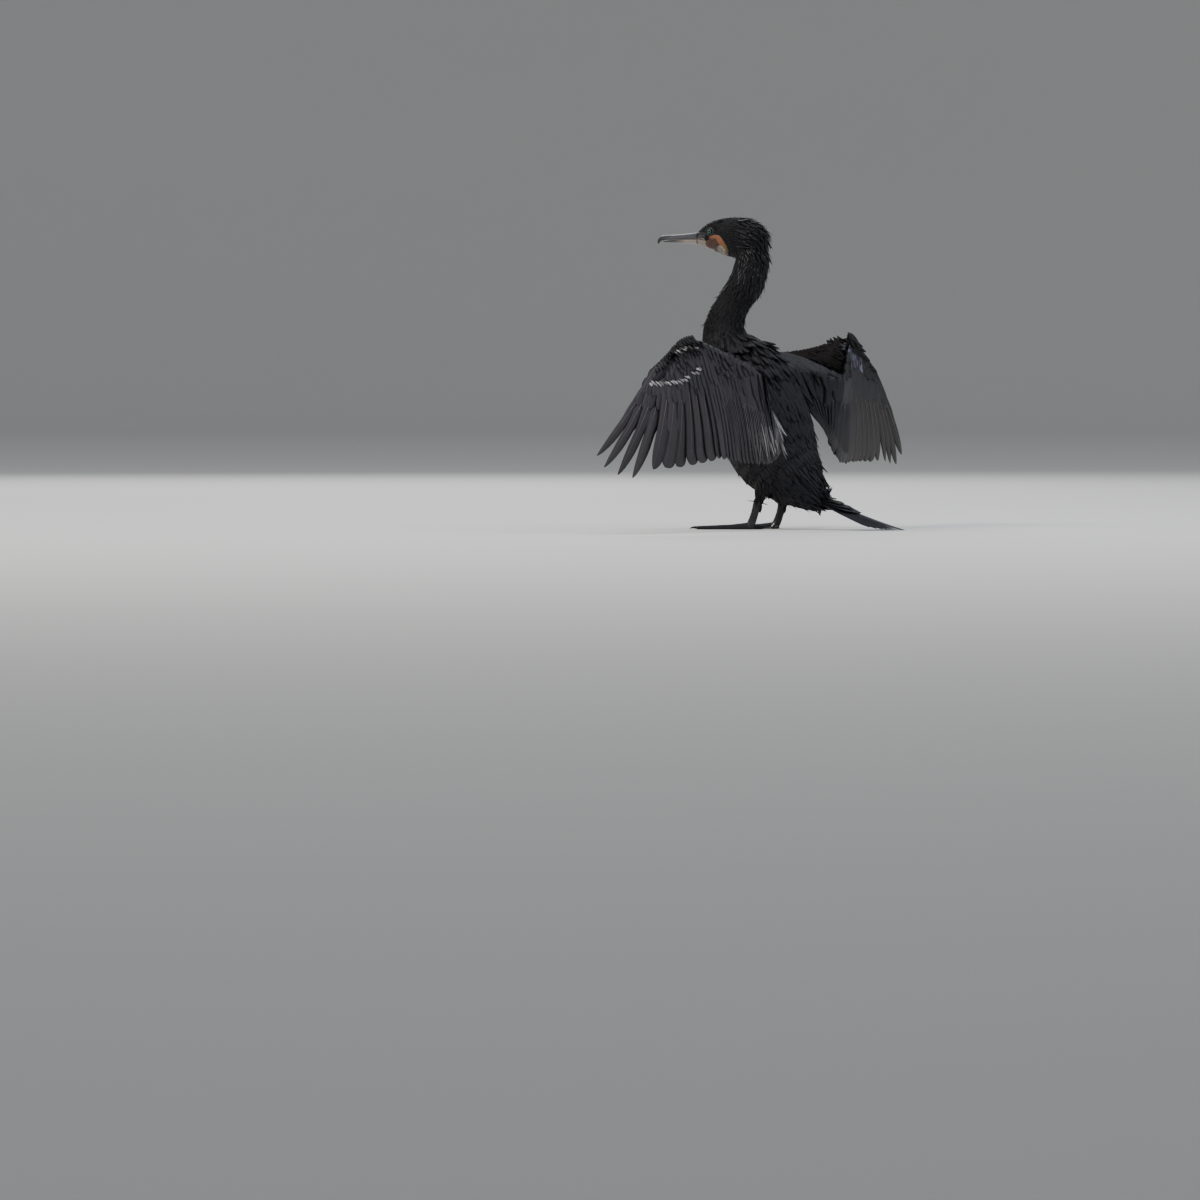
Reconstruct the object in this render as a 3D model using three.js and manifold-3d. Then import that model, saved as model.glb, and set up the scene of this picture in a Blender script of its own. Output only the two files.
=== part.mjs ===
// A great cormorant at life size, standing with its wings held out to dry. The bird faces -X, its left
// side is -Y, and +Z is up. Its webbed feet and its tail rest on the floor at Z = 0. Millimetres.
import * as THREE from 'three';
import { mergeVertices } from 'three/addons/utils/BufferGeometryUtils.js';
import Module from 'manifold-3d';

const wasm = await Module();
wasm.setup();

// Driving dimensions, in millimetres and degrees.
const gap = 0.3; // clearance between one named piece and the next
const headTurn = 14; // how far the head is turned to the bird's left
const legSpacing = 90; // between the middles of the two tarsi
const eyeRadius = 5;
const billLength = 65.5;
const primaries = 10;
const secondaries = 12;
const tertials = 4;
const scapulars = 4;
const shoulderReach = 36; // how far a wing's root runs on into the trunk before it is cut
const tailFeathers = 14;
const tailLength = 152;
const vaneThickness = 0.6;
const vaneTilt = 9; // each flight feather is tilted by this, so that it lies over the next one out
const toeLengths = { outer: 86, middle: 72, inner: 50, hind: 30 };
const clawLength = 11;

const colours = {
  plumage: 0x17181c,
  wing: 0x34333a,
  tail: 0x3a3a42,
  bill: 0x6f6d6a,
  eye: 0x1f6b55,
  foot: 0x1c1d20,
  claw: 0x141312,
};

const at = (x, y, z) => new THREE.Vector3(x, y, z);
const mix = (a, b, t) => a + (b - a) * t;
const between = (a, b, t) => a.clone().lerp(b, t);
const radians = THREE.MathUtils.degToRad;
const up = at(0, 0, 1);
const eyes = [-1, 1]; // the two sides of the head

// Draws the same numbers on every run, for the small differences between feathers.
function seededDraw(seed) {
  let state = seed;
  return () => {
    state = (state * 1664525 + 1013904223) % 4294967296;
    return state / 4294967296;
  };
}

// Solids

function solidOf(geometry) {
  const bare = geometry.clone();
  bare.deleteAttribute('normal');
  bare.deleteAttribute('uv');
  const merged = mergeVertices(bare, 1e-4);
  const corners = new Uint32Array(merged.index.array);
  const make = () => new wasm.Manifold(new wasm.Mesh({
    numProp: 3, vertProperties: merged.attributes.position.array, triVerts: corners,
  }));
  const made = make();
  if (made.volume() > 0) return made;
  corners.reverse(); // turns every face round
  return make();
}

const join = (pieces) => wasm.Manifold.union(pieces);
const largest = (solid) => solid.decompose().reduce((a, b) => (a.volume() > b.volume() ? a : b));

// What lies on either side of a cut, each half a gap away from it.
const above = (solid, plane) => solid.trimByPlane(plane.normal, plane.offset + gap / 2);
const below = (solid, plane) => solid.trimByPlane(plane.normal.map((v) => -v), -(plane.offset - gap / 2));

// A closed body through rings of points, each ring with the same number of points.
function loft(rings) {
  const count = rings[0].length;
  const points = rings.flat();
  const middle = (ring) => ring.reduce((sum, p) => sum.add(p), at(0, 0, 0)).divideScalar(count);
  points.push(middle(rings[0]), middle(rings[rings.length - 1]));
  const [first, last] = [points.length - 2, points.length - 1];
  const index = [];
  for (let ring = 0; ring < rings.length - 1; ring++) {
    for (let i = 0; i < count; i++) {
      const [a, b] = [ring * count + i, ring * count + ((i + 1) % count)];
      index.push(a, b, b + count, a, b + count, a + count);
    }
  }
  const lastRing = (rings.length - 1) * count;
  for (let i = 0; i < count; i++) {
    const next = (i + 1) % count;
    index.push(first, next, i, last, lastRing + i, lastRing + next);
  }
  return solidOf(new THREE.BufferGeometry().setFromPoints(points).setIndex(index));
}

// A ring round a centre: half sizes along two directions, squarer as power goes over 2.
function ring(centre, side, rise, halfSide, halfRise, count, power = 2) {
  const points = [];
  for (let i = 0; i < count; i++) {
    const angle = (i / count) * 2 * Math.PI;
    const [c, s] = [Math.cos(angle), Math.sin(angle)];
    const out = (v, half) => Math.sign(v) * Math.abs(v) ** (2 / power) * half;
    points.push(centre.clone().addScaledVector(side, out(c, halfSide)).addScaledVector(rise, out(s, halfRise)));
  }
  return points;
}

// A round, tapering limb through points, each with a radius.
function limb(stops, count, steps, flat = 1) {
  const path = new THREE.CatmullRomCurve3(stops.map((s) => s.p), false, 'centripetal');
  const radii = new THREE.CatmullRomCurve3(stops.map((s) => at(s.r, 0, 0)));
  const rings = [];
  for (let i = 0; i <= steps; i++) {
    const t = i / steps;
    const along = path.getTangent(t);
    const side = along.clone().cross(Math.abs(along.z) > 0.8 ? at(1, 0, 0) : up).normalize();
    const rise = side.clone().cross(along).normalize();
    const radius = radii.getPoint(t).x;
    rings.push(ring(path.getPoint(t), side, rise, radius * flat, radius, count));
  }
  return loft(rings);
}

// A thin plate, such as a feather. Each row holds points across it, its upward direction and a thickness.
// Both faces are split into the same triangles.
function plate(rows) {
  const columns = rows[0].across.length;
  const points = [];
  for (const row of rows) {
    for (const p of row.across) {
      points.push(p.clone().addScaledVector(row.up, row.thick / 2), p.clone().addScaledVector(row.up, -row.thick / 2));
    }
  }
  const index = [];
  const quad = (a, b, c, d) => index.push(a, b, c, a, c, d);
  const stride = columns * 2;
  for (let r = 0; r < rows.length - 1; r++) {
    const [a, b] = [r * stride, (r + 1) * stride];
    for (let k = 0; k < stride - 2; k += 2) {
      quad(a + k, a + k + 2, b + k + 2, b + k);
      index.push(a + k + 1, b + k + 3, a + k + 3, a + k + 1, b + k + 1, b + k + 3);
    }
    quad(a + 1, a, b, b + 1);
    quad(a + stride - 2, a + stride - 1, b + stride - 1, b + stride - 2);
  }
  const end = (rows.length - 1) * stride;
  for (let k = 0; k < stride - 2; k += 2) {
    quad(k + 1, k + 3, k + 2, k);
    quad(end + k, end + k + 2, end + k + 3, end + k + 1);
  }
  return solidOf(new THREE.BufferGeometry().setFromPoints(points).setIndex(index));
}

// Shares of its length where a feather has a row, and its half width there: quill, vane and rounded tip.
const longVane = [[0, 0.4], [0.32, 1], [0.78, 1], [0.94, 0.74], [1, 0.26]];
const shortVane = [[0, 0.7], [0.55, 1], [0.86, 0.8], [1, 0.28]];
const lockVane = [[0, 0.9], [0.5, 1], [1, 0.18]];

// Body, neck and head

// The trunk's middle line from the back of the head to the tail: place, half depth and half width.
const trunk = [
  { x: -22, z: 447, deep: 26, wide: 23 },
  { x: -25, z: 424, deep: 28, wide: 25 },
  { x: -34, z: 394, deep: 29, wide: 26 },
  { x: -55, z: 364, deep: 28, wide: 26 },
  { x: -69, z: 337, deep: 31, wide: 28 },
  { x: -73, z: 314, deep: 37, wide: 34 },
  { x: -67, z: 291, deep: 47, wide: 46 },
  { x: -53, z: 264, deep: 64, wide: 62 },
  { x: -31, z: 224, deep: 76, wide: 72 },
  { x: -6, z: 174, deep: 77, wide: 74 },
  { x: 20, z: 122, deep: 71, wide: 69 },
  { x: 52, z: 84, deep: 53, wide: 55 },
  { x: 80, z: 58, deep: 32, wide: 38 },
  { x: 100, z: 43, deep: 17, wide: 25 },
];

function trunkLoft(grow, steps, count) {
  const path = new THREE.CatmullRomCurve3(trunk.map((s) => at(s.x, 0, s.z)));
  const sizes = new THREE.CatmullRomCurve3(trunk.map((s) => at(s.deep, s.wide, 0)));
  const rings = [];
  for (let i = 0; i <= steps; i++) {
    const along = path.getTangent(i / steps);
    const size = sizes.getPoint(i / steps);
    const rise = along.clone().cross(at(0, 1, 0));
    const centre = path.getPoint(i / steps);
    if (i === steps) centre.addScaledVector(along, grow);
    rings.push(ring(centre, at(0, 1, 0), rise, size.y + grow, size.x + grow, count, 2.15));
  }
  return loft(rings);
}

// The head's own frame: forward along the bill, left to the bird's left.
const headForward = at(-Math.cos(radians(headTurn)), -Math.sin(radians(headTurn)), 0);
const headLeft = up.clone().cross(headForward);
const headPoint = (f, side, z) => at(-24, 0, z).addScaledVector(headForward, f).addScaledVector(headLeft, side);

// Sections along the head: distance forward, top, bottom and half width.
const headSections = [
  { f: -26, top: 470, bottom: 449, wide: 9 },
  { f: -20, top: 481, bottom: 438, wide: 17 },
  { f: -8, top: 490, bottom: 431, wide: 22 },
  { f: 8, top: 497, bottom: 432, wide: 23.5 },
  { f: 26, top: 499, bottom: 434, wide: 23.5 },
  { f: 44, top: 498, bottom: 437, wide: 21.5 },
  { f: 58, top: 495, bottom: 443, wide: 18 },
  { f: 70, top: 491, bottom: 448, wide: 14.5 },
  { f: 80, top: 484, bottom: 451.5, wide: 11.5 },
  { f: 88.5, top: 475.5, bottom: 454.8, wide: 8.8 },
];

function headLoft() {
  const path = new THREE.CatmullRomCurve3(headSections.map((s) => at(s.f, s.top, s.bottom)));
  const widths = new THREE.CatmullRomCurve3(headSections.map((s) => at(s.wide, 0, 0)));
  const steps = 13;
  const rings = [];
  for (let i = 0; i <= steps; i++) {
    const { x: f, y: top, z: bottom } = path.getPoint(i / steps);
    const wide = widths.getPoint(i / steps).x;
    rings.push(ring(headPoint(f, 0, (top + bottom) / 2), headLeft, up, wide, (top - bottom) / 2, 16, 2.2));
  }
  return loft(rings);
}

const billBase = headSections[headSections.length - 1].f;

// Half of the bill: rings from the base to the tip, each with its height, half size and downward pitch.
function billHalf(stops) {
  return loft(stops.map(([along, z, half, wide, pitch]) => {
    const turn = radians(pitch);
    const rise = up.clone().multiplyScalar(Math.cos(turn)).addScaledVector(headForward, Math.sin(turn));
    return ring(headPoint(billBase + gap + along * billLength, 0, z), headLeft, rise, wide, half, 12, 2.4);
  }));
}

function upperBill() {
  const whole = billHalf([
    [0, 469.5, 5.1, 7.6, 0],
    [0.12, 468.8, 4.6, 7, 0],
    [0.35, 467.7, 3.9, 5.8, 0],
    [0.6, 466.9, 3.7, 5, 0],
    [0.8, 466.7, 4.1, 4.6, 4],
    [0.89, 465.6, 4.1, 4, 22],
    [0.95, 463.2, 3.4, 3.1, 46],
    [0.985, 459.8, 2.2, 2.1, 68],
    [0.995, 456.4, 0.8, 0.8, 82],
  ]);
  const grooves = eyes.map((side) => limb([
    { p: headPoint(billBase - 2, side * 7.6, 470.4), r: 1 },
    { p: headPoint(billBase + billLength * 0.4, side * 5.7, 468.4), r: 0.9 },
    { p: headPoint(billBase + billLength * 0.8, side * 4.7, 467.6), r: 0.8 },
  ], 4, 3));
  return largest(whole.subtract(join(grooves)));
}

function lowerBill() {
  return billHalf([
    [0, 459.6, 4.4, 7.2, 0],
    [0.12, 460, 3.8, 6.6, 0],
    [0.35, 460.35, 3.1, 5.4, 0],
    [0.6, 460.5, 2.3, 4.5, 0],
    [0.8, 460.3, 1.5, 3.5, 0],
    [0.87, 460.1, 0.9, 2.4, 0],
  ]);
}

const eyePlace = (side) => headPoint(66, side * 12.6, 475.4);

function eyeBall(side, grow = 0) {
  const ball = new THREE.SphereGeometry(eyeRadius + grow, 10, 7);
  ball.translate(...eyePlace(side).toArray());
  return solidOf(ball);
}

function eyeLid(side) {
  const lid = new THREE.TorusGeometry(eyeRadius + 0.4, 1.3, 5, 12);
  lid.applyMatrix4(new THREE.Matrix4().lookAt(at(0, 0, 0), headLeft.clone().addScaledVector(headForward, 0.12 * side), up));
  const place = eyePlace(side).addScaledVector(headLeft, side * 2.2);
  lid.translate(place.x, place.y, place.z);
  return solidOf(lid);
}

// The line of the mouth runs back from the bill to below the eye.
function mouthLine(side) {
  return limb([
    { p: headPoint(billBase + 3, side * 8.8, 464.2), r: 0.7 },
    { p: headPoint(billBase - 8, side * 11.9, 461.5), r: 0.9 },
    { p: headPoint(billBase - 22, side * 16.2, 455), r: 0.9 },
  ], 5, 4);
}

// A flat, tapered lock of small feathers that lies back over the nape.
function lock(root, tip, outward, width, thick) {
  const along = tip.clone().sub(root);
  const side = along.clone().cross(outward).normalize();
  const rows = lockVane.map(([t, share]) => {
    const middle = between(root, tip, t).addScaledVector(outward, Math.sin(t * Math.PI) * along.length() * 0.06);
    const half = side.clone().multiplyScalar(width * 0.5 * share);
    return { across: [middle.clone().sub(half), middle.clone().add(half)], up: outward, thick: thick * (1.2 - t * 0.7) };
  });
  return plate(rows);
}

// The back of the crown and the nape, downwards: height, the middle's place, half depth and half width.
const nape = [
  { z: 484, x: -27, deep: 20, wide: 18 },
  { z: 472, x: -24, deep: 25, wide: 21 },
  { z: 451, x: -23, deep: 27, wide: 23 },
  { z: 430, x: -25, deep: 29, wide: 25 },
  { z: 409, x: -30, deep: 31, wide: 26 },
  { z: 388, x: -38, deep: 32, wide: 26 },
];

// Locks in rows over the nape. Each lies down the neck, with its tip a little off it.
function napeLocks() {
  const draw = seededDraw(11);
  const locks = [];
  nape.forEach((row, order) => {
    const count = 3 + (order % 2);
    for (let i = 0; i < count; i++) {
      const angle = radians(mix(-66, 66, (i + 0.5) / count) + mix(-5, 5, draw()));
      const outward = at(Math.cos(angle), Math.sin(angle), 0.12).normalize();
      const reach = 1 / Math.hypot(Math.cos(angle) / row.deep, Math.sin(angle) / row.wide);
      const root = at(row.x, 0, row.z + mix(-3, 3, draw())).addScaledVector(outward, reach - 3.5);
      const fall = at(row.x * 0.0025 - 0.05, 0, -1).addScaledVector(outward, 0.3).normalize();
      locks.push(lock(root, root.clone().addScaledVector(fall, mix(19, 25, draw())), outward, mix(12, 15, draw()), 2.2));
    }
  });
  return locks;
}

// Wings

// Each wing's bones and the tips of its flight feathers, measured on the left side and mirrored by side.
// tips run from the outermost primary to the innermost feather, and stop is the feather's number.
const wingPoses = {
  left: {
    side: -1,
    shoulder: at(-42, 52, 262), elbow: at(60, 135, 243.9), wrist: at(12, 270, 297.4), finger: at(-4, 375, 252.6),
    patagium: at(-62, 56, 277),
    tips: [
      { stop: 0, p: at(-5.6, 562, 122.9) },
      { stop: 1, p: at(2, 553, 104.8) },
      { stop: 2, p: at(16, 533, 93.5) },
      { stop: 3, p: at(26, 504, 88) },
      { stop: 4, p: at(42, 468, 100.3) },
      { stop: 7, p: at(58, 372, 107.3) },
      { stop: 10, p: at(68, 292, 113.6) },
      { stop: 14, p: at(64, 222, 109.9) },
      { stop: 18, p: at(70, 163, 103.6) },
      { stop: 21, p: at(78, 126, 107.9) },
      { stop: 23, p: at(84, 106, 125.5) },
      { stop: 25, p: at(80, 92, 151.1) },
    ],
  },
  right: {
    side: 1,
    shoulder: at(-42, 52, 262), elbow: at(60, 135, 239.6), wrist: at(10, 270, 298.9), finger: at(-1, 374, 258.3),
    patagium: at(-62, 56, 277),
    tips: [
      { stop: 0, p: at(-24, 545, 114.1) },
      { stop: 1, p: at(-31, 537, 98.2) },
      { stop: 2, p: at(-30, 518, 99.6) },
      { stop: 3, p: at(-27, 488, 103.4) },
      { stop: 4, p: at(-22, 455, 105.2) },
      { stop: 7, p: at(-8, 364, 105.5) },
      { stop: 10, p: at(10, 288, 103.5) },
      { stop: 14, p: at(30, 222, 101.2) },
      { stop: 18, p: at(48, 165, 108.8) },
      { stop: 21, p: at(54, 130, 127.7) },
      { stop: 23, p: at(56, 108, 148.2) },
      { stop: 25, p: at(52, 90, 168.6) },
    ],
  },
};
const feathersPerWing = primaries + secondaries + tertials;

// The wing as a surface: for feather number f, its root, tip, front edge and the direction away from the back.
function wingSurface(pose) {
  const flip = (p) => at(p.x, p.y * pose.side, p.z);
  const stops = pose.tips.map((t) => t.stop);
  const tipCurve = new THREE.CatmullRomCurve3(pose.tips.map((t) => flip(t.p)), false, 'centripetal');
  const bend = primaries / (feathersPerWing - 1);
  const armBend = (primaries + secondaries) / (feathersPerWing - 1);
  const bone = (t) => {
    if (t < bend) return between(flip(pose.finger), flip(pose.wrist), Math.max(t, -0.01) / bend);
    if (t < armBend) return between(flip(pose.wrist), flip(pose.elbow), (t - bend) / (armBend - bend));
    return between(flip(pose.elbow), flip(pose.shoulder), ((t - armBend) / (1 - armBend)) * 0.72);
  };
  const front = (t) => {
    if (t < bend) {
      const rise = bone(t).sub(tip(t * (feathersPerWing - 1))).normalize();
      return bone(t).addScaledVector(rise, 5 + 11 * Math.sin((t / bend) * Math.PI));
    }
    const edge = between(flip(pose.wrist).add(at(-8, 0, 4)), flip(pose.patagium), (t - bend) / (1 - bend) * 0.86);
    return edge.add(at(0, 0, -9 * Math.sin(((t - bend) / (1 - bend)) * Math.PI)));
  };
  const tip = (f) => {
    const k = Math.min(Math.max(stops.findIndex((s) => s > f), 1), stops.length - 1);
    const kept = f >= stops[stops.length - 1] ? stops.length - 1 : k;
    const share = (f - stops[kept - 1]) / (stops[kept] - stops[kept - 1]);
    return tipCurve.getPoint(Math.min(Math.max((kept - 1 + share) / (stops.length - 1), 0), 1));
  };
  const rough = (f, c) => between(bone(f / (feathersPerWing - 1)), tip(f), c);
  const away = (f, c) => {
    const chord = rough(f, 1).sub(rough(f, 0));
    const [low, high] = [Math.max(f - 1.5, 0), Math.min(f + 1.5, feathersPerWing - 1)];
    const span = rough(high, c).sub(rough(low, c));
    return chord.cross(span).multiplyScalar(-pose.side).normalize();
  };
  // A point at share c of the feather, bulging a little away from the breast, and lifted by lift.
  const point = (f, c, lift = 0) => {
    const length = rough(f, 1).distanceTo(rough(f, 0));
    const bulge = 0.16 * length * c * (1 - c);
    return rough(f, c).addScaledVector(away(f, c), bulge + lift);
  };
  return { front, bone, point, away, flip, pose };
}

// A feather that lies along the wing from share c0 to c1 of flight feather f. Its two edges are at
// different heights, so that it overlaps the next one without touching it.
function wingFeather(wing, f, c0, c1, width, options) {
  const { lift0 = 0, lift1 = 0, tilt = vaneTilt, slant = 0, thick = vaneThickness, vane = shortVane } = options;
  const rows = vane.map(([t, share]) => {
    const c = mix(c0, c1, t);
    const number = f + slant * t;
    const lift = mix(lift0, lift1, Math.sqrt(t));
    const middle = wing.point(number, c, lift);
    const along = wing.point(number, c + 0.02, lift).sub(wing.point(number, c - 0.02, lift)).normalize();
    const away = wing.away(number, c);
    const out = away.clone().cross(along).multiplyScalar(wing.pose.side).normalize();
    out.addScaledVector(away, Math.tan(radians(tilt))).normalize();
    const half = (width / 2) * share;
    const across = [middle.clone().addScaledVector(out, half * 0.8), middle.clone().addScaledVector(out, -half * 1.2)];
    return { across, up: away, thick };
  });
  return plate(rows);
}

// The arm and hand: a body that is thick over the bones and thins to where the feathers leave it.
function wingCore(wing) {
  const rings = [];
  const steps = 14;
  for (let i = 0; i <= steps; i++) {
    const t = i / steps;
    const f = t * (feathersPerWing - 1);
    const girth = mix(5, 10, Math.min(t * 1.6, 1));
    const away = wing.away(f, 0);
    const edge = wing.front(t);
    const bone = wing.bone(t);
    const nose = edge.clone().sub(bone).normalize();
    const spine = [
      [edge, girth * 0.34],
      [bone, girth * 0.8],
      [wing.point(f, 0.14), girth * 0.5],
      [wing.point(f, 0.3), 2.1],
    ];
    const upper = spine.map(([p, half]) => p.clone().addScaledVector(away, half));
    const lower = spine.map(([p, half]) => p.clone().addScaledVector(away, -half)).reverse();
    rings.push([edge.clone().addScaledVector(nose, girth * 0.3), ...upper, ...lower]);
  }
  // The root runs on into the shoulder, where the trunk is cut out of it.
  const inwards = at(-4, -shoulderReach * wing.pose.side, 0);
  rings.push(rings[steps].map((p) => p.clone().add(inwards)));
  return loft(rings);
}

function wingSolid(pose, seed) {
  const wing = wingSurface(pose);
  const draw = seededDraw(seed);
  const pieces = [wingCore(wing)];
  for (let f = 0; f < feathersPerWing; f++) {
    const onHand = f < primaries;
    const width = onHand ? mix(27, 30, f / primaries) : mix(29, 24, (f - primaries) / (secondaries + tertials));
    pieces.push(wingFeather(wing, f, 0.12, 1 - (onHand ? 0 : 0.012 * draw()), width, { vane: longVane }));
  }
  // Greater, median and lesser coverts: how many feather places apart, their reach, width and lift.
  const tiers = [
    { step: 2.1, from: 0.13, to: 0.47, width: 42, lift: 5.5, slant: 0 },
    { step: 2.7, from: 0.05, to: 0.29, width: 41, lift: 9.5, slant: 0.4 },
  ];
  for (const tier of tiers) {
    for (let f = 0.4; f < feathersPerWing - 3.4; f += tier.step) {
      const handShare = Math.min(Math.max((primaries - f) / primaries, 0), 1);
      const lift = tier.lift * mix(1, 0.8, handShare);
      const reach = tier.to * mix(1, 0.86, handShare) + mix(-0.012, 0.012, draw());
      const slant = tier.slant * (1 - handShare);
      pieces.push(wingFeather(wing, f, tier.from, reach, tier.width, { lift0: 0.5, lift1: lift, slant }));
    }
  }
  // The alula: three stiff feathers along the front edge of the hand.
  for (let i = 0; i < 3; i++) {
    const reach = 0.22 + i * 0.02;
    const lift = 7.5 - i * 1.1;
    pieces.push(wingFeather(wing, 4.5 - i * 0.8, -0.02, reach, 15, { lift0: 1, lift1: lift, slant: -4.2 + i * 0.5, tilt: 4 }));
  }
  // Scapulars: long feathers from the shoulder that droop over the elbow.
  for (let i = 0; i < scapulars; i++) {
    const f = feathersPerWing - 1 - i * 1.15;
    const reach = mix(0.66, 0.5, i / (scapulars - 1)) + mix(-0.03, 0.03, draw());
    pieces.push(wingFeather(wing, f, 0, reach, 25, { lift0: 4, lift1: 9, tilt: 14, vane: longVane }));
  }
  return join(pieces);
}

// Tail

const tailRoot = at(94, 0, 47);
const tailFan = 15; // half the angle of the fan
const tailPress = 4.6; // how far the stack of feathers is pressed down, so that its ends lie on the floor

function tailSolid() {
  const pieces = [limb([
    { p: at(78, 0, 60), r: 22 },
    { p: at(98, 0, 46), r: 17 },
    { p: at(118, 0, 37), r: 9 },
    { p: at(134, 0, 31), r: 4 },
  ], 14, 7, 1.35)];
  const rectrix = (order, from, to, width, lift) => {
    const share = order; // -1 at the left edge, 1 at the right
    const angle = radians(share * tailFan);
    const length = tailLength * (1 - 0.24 * share * share) * to;
    const rows = longVane.map(([along, wide]) => {
      const t = mix(from, 1, along);
      const run = t * length;
      // The stiff feathers slope down and end flat on the floor.
      const fall = (tailRoot.z + tailPress) * (1 - Math.min(run / (tailLength * 0.97), 1)) ** 1.12 - tailPress;
      const height = fall + 0.5 + lift * (0.4 + t) + (1 - Math.abs(share)) * 2.6 * (1 - t);
      const middle = at(tailRoot.x + run * Math.cos(angle), share * 9 + run * Math.sin(angle), height);
      const side = at(-Math.sin(angle), Math.cos(angle), share > 0 ? 0.055 : -0.055).multiplyScalar((width / 2) * wide);
      return { across: [middle.clone().sub(side), middle.clone().add(side)], up, thick: 0.8 };
    });
    pieces.push(plate(rows));
  };
  for (let i = 0; i < tailFeathers; i++) {
    const share = (i / (tailFeathers - 1)) * 2 - 1;
    rectrix(share, 0.06, 1, 15, (1 - Math.abs(share)) * 4.2);
  }
  // Upper and lower tail coverts.
  for (const [count, reach, lift, spread] of [[5, 0.42, 9, 0.75], [3, 0.27, 15, 0.5]]) {
    for (let i = 0; i < count; i++) {
      rectrix(((i / (count - 1)) * 2 - 1) * spread, 0.1, reach, 17, lift);
    }
  }
  return join(pieces);
}

// Legs and feet

function thighSolid(side) {
  const y = (side * legSpacing) / 2;
  return limb([
    { p: at(28, y * 0.7, 132), r: 33 },
    { p: at(27, y * 0.88, 98), r: 29 },
    { p: at(18, y, 67), r: 17 },
    { p: at(12, y * 0.98, 51), r: 9.8 },
    { p: at(10, y * 0.98, 42), r: 8.6 },
  ], 16, 8, 0.85);
}

function legSolid(side) {
  const y = (side * legSpacing) / 2;
  return limb([
    { p: at(13, y * 0.98, 56), r: 8 },
    { p: at(9, y * 0.98, 42), r: 7.4 },
    { p: at(4, y, 24), r: 6.6 },
    { p: at(-2, y, 9), r: 7.2 },
    { p: at(-6, y, 3), r: 6 },
  ], 12, 8, 0.72);
}

// The four toes, from the outer one round to the hind toe: length and angle from straight ahead, outward.
const toes = [
  { name: 'outer', angle: 27, bend: 5 },
  { name: 'middle', angle: 3, bend: 3 },
  { name: 'inner', angle: -27, bend: 0 },
  { name: 'hind', angle: -108, bend: 0 },
];

const toeJoint = (side) => at(-4, (side * legSpacing) / 2, 6);

function toePoint(side, toe, run, z) {
  const angle = radians(toe.angle + toe.bend * (run / toeLengths[toe.name]));
  return toeJoint(side).add(at(-Math.cos(angle) * run, side * Math.sin(angle) * run, 0)).setZ(z);
}

function footSolid(side) {
  const pieces = [];
  for (const toe of toes) {
    const length = toeLengths[toe.name];
    const whole = limb([
      { p: toePoint(side, toe, -2, 6.2), r: 6.4 },
      { p: toePoint(side, toe, length * 0.34, 4.1), r: 4.7 },
      { p: toePoint(side, toe, length * 0.68, 3.4), r: 4 },
      { p: toePoint(side, toe, length + 2, 2.9), r: 3.2 },
    ], 6, 3);
    pieces.push(below(whole, toeEnd(side, toe)));
  }
  // A flat pad under the joint of the toes.
  pieces.push(limb([{ p: toeJoint(side).setZ(5), r: 6.6 }, { p: toeJoint(side).setZ(-2), r: 6.6 }], 10, 2));
  // Webs join each toe to the next, with a hollowed front edge.
  for (let i = 0; i < toes.length - 1; i++) {
    const [a, b] = [toes[i], toes[i + 1]];
    const rows = [0.05, 0.5, 0.92].map((t) => {
      const left = toePoint(side, a, toeLengths[a.name] * t, 2.1);
      const right = toePoint(side, b, toeLengths[b.name] * t, 2.1);
      const middle = between(left, right, 0.5).lerp(toeJoint(side).setZ(2.1), t * 0.14);
      return { across: [left, middle, right], up, thick: 1.3 };
    });
    pieces.push(plate(rows));
  }
  return join(pieces).trimByPlane([0, 0, 1], 0);
}

function clawSolid(side, toe) {
  const reach = (run, z) => toePoint(side, toe, toeLengths[toe.name] + run, z);
  return limb([
    { p: reach(-1, 3.2), r: 2.7 },
    { p: reach(clawLength * 0.55, 3.5), r: 1.9 },
    { p: reach(clawLength, 1.4), r: 0.45 },
  ], 6, 3);
}

// The plane across a toe's end, where its claw begins.
function toeEnd(side, toe) {
  const end = toePoint(side, toe, toeLengths[toe.name], 3);
  const forward = end.clone().sub(toePoint(side, toe, toeLengths[toe.name] * 0.8, 3)).normalize();
  return { normal: forward.toArray(), offset: forward.dot(end) };
}

// The whole bird

const bird = new THREE.Group();

function add(name, solid, colour, roughness) {
  const kept = largest(largest(solid).simplify(0.03)).getMesh();
  const geometry = new THREE.BufferGeometry();
  geometry.setAttribute('position', new THREE.BufferAttribute(kept.vertProperties, 3));
  geometry.setIndex(new THREE.BufferAttribute(kept.triVerts, 1));
  geometry.computeVertexNormals();
  const material = new THREE.MeshStandardMaterial({ color: colour, roughness, metalness: 0 });
  const mesh = new THREE.Mesh(geometry, material);
  mesh.name = name;
  bird.add(mesh);
}

// Cuts through the neck, each at a height, a lean and a normal that follows the neck.
const cut = (x, z, leanX) => {
  const normal = at(leanX, 0, 1).normalize();
  return { normal: normal.toArray(), offset: normal.dot(at(x, 0, z)) };
};
const headCut = cut(-26, 424, 0.25);
const neckCut = cut(-55, 364, 0.6);
const breastCut = cut(-70, 303, 0.12);
const sockets = join(eyes.map((side) => eyeBall(side, gap)));
const flesh = join([trunkLoft(0, 24, 20), headLoft(), ...napeLocks()]);
const faceDetail = join(eyes.map(mouthLine));
const head = join([above(flesh, headCut), ...eyes.map(eyeLid)]).subtract(sockets).subtract(faceDetail);
add('head', head, colours.plumage, 0.75);
add('neck_upper', above(below(flesh, headCut), neckCut), colours.plumage, 0.75);
add('neck_lower', above(below(flesh, neckCut), breastCut), colours.plumage, 0.75);
add('torso', below(flesh, breastCut), colours.plumage, 0.8);
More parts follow.
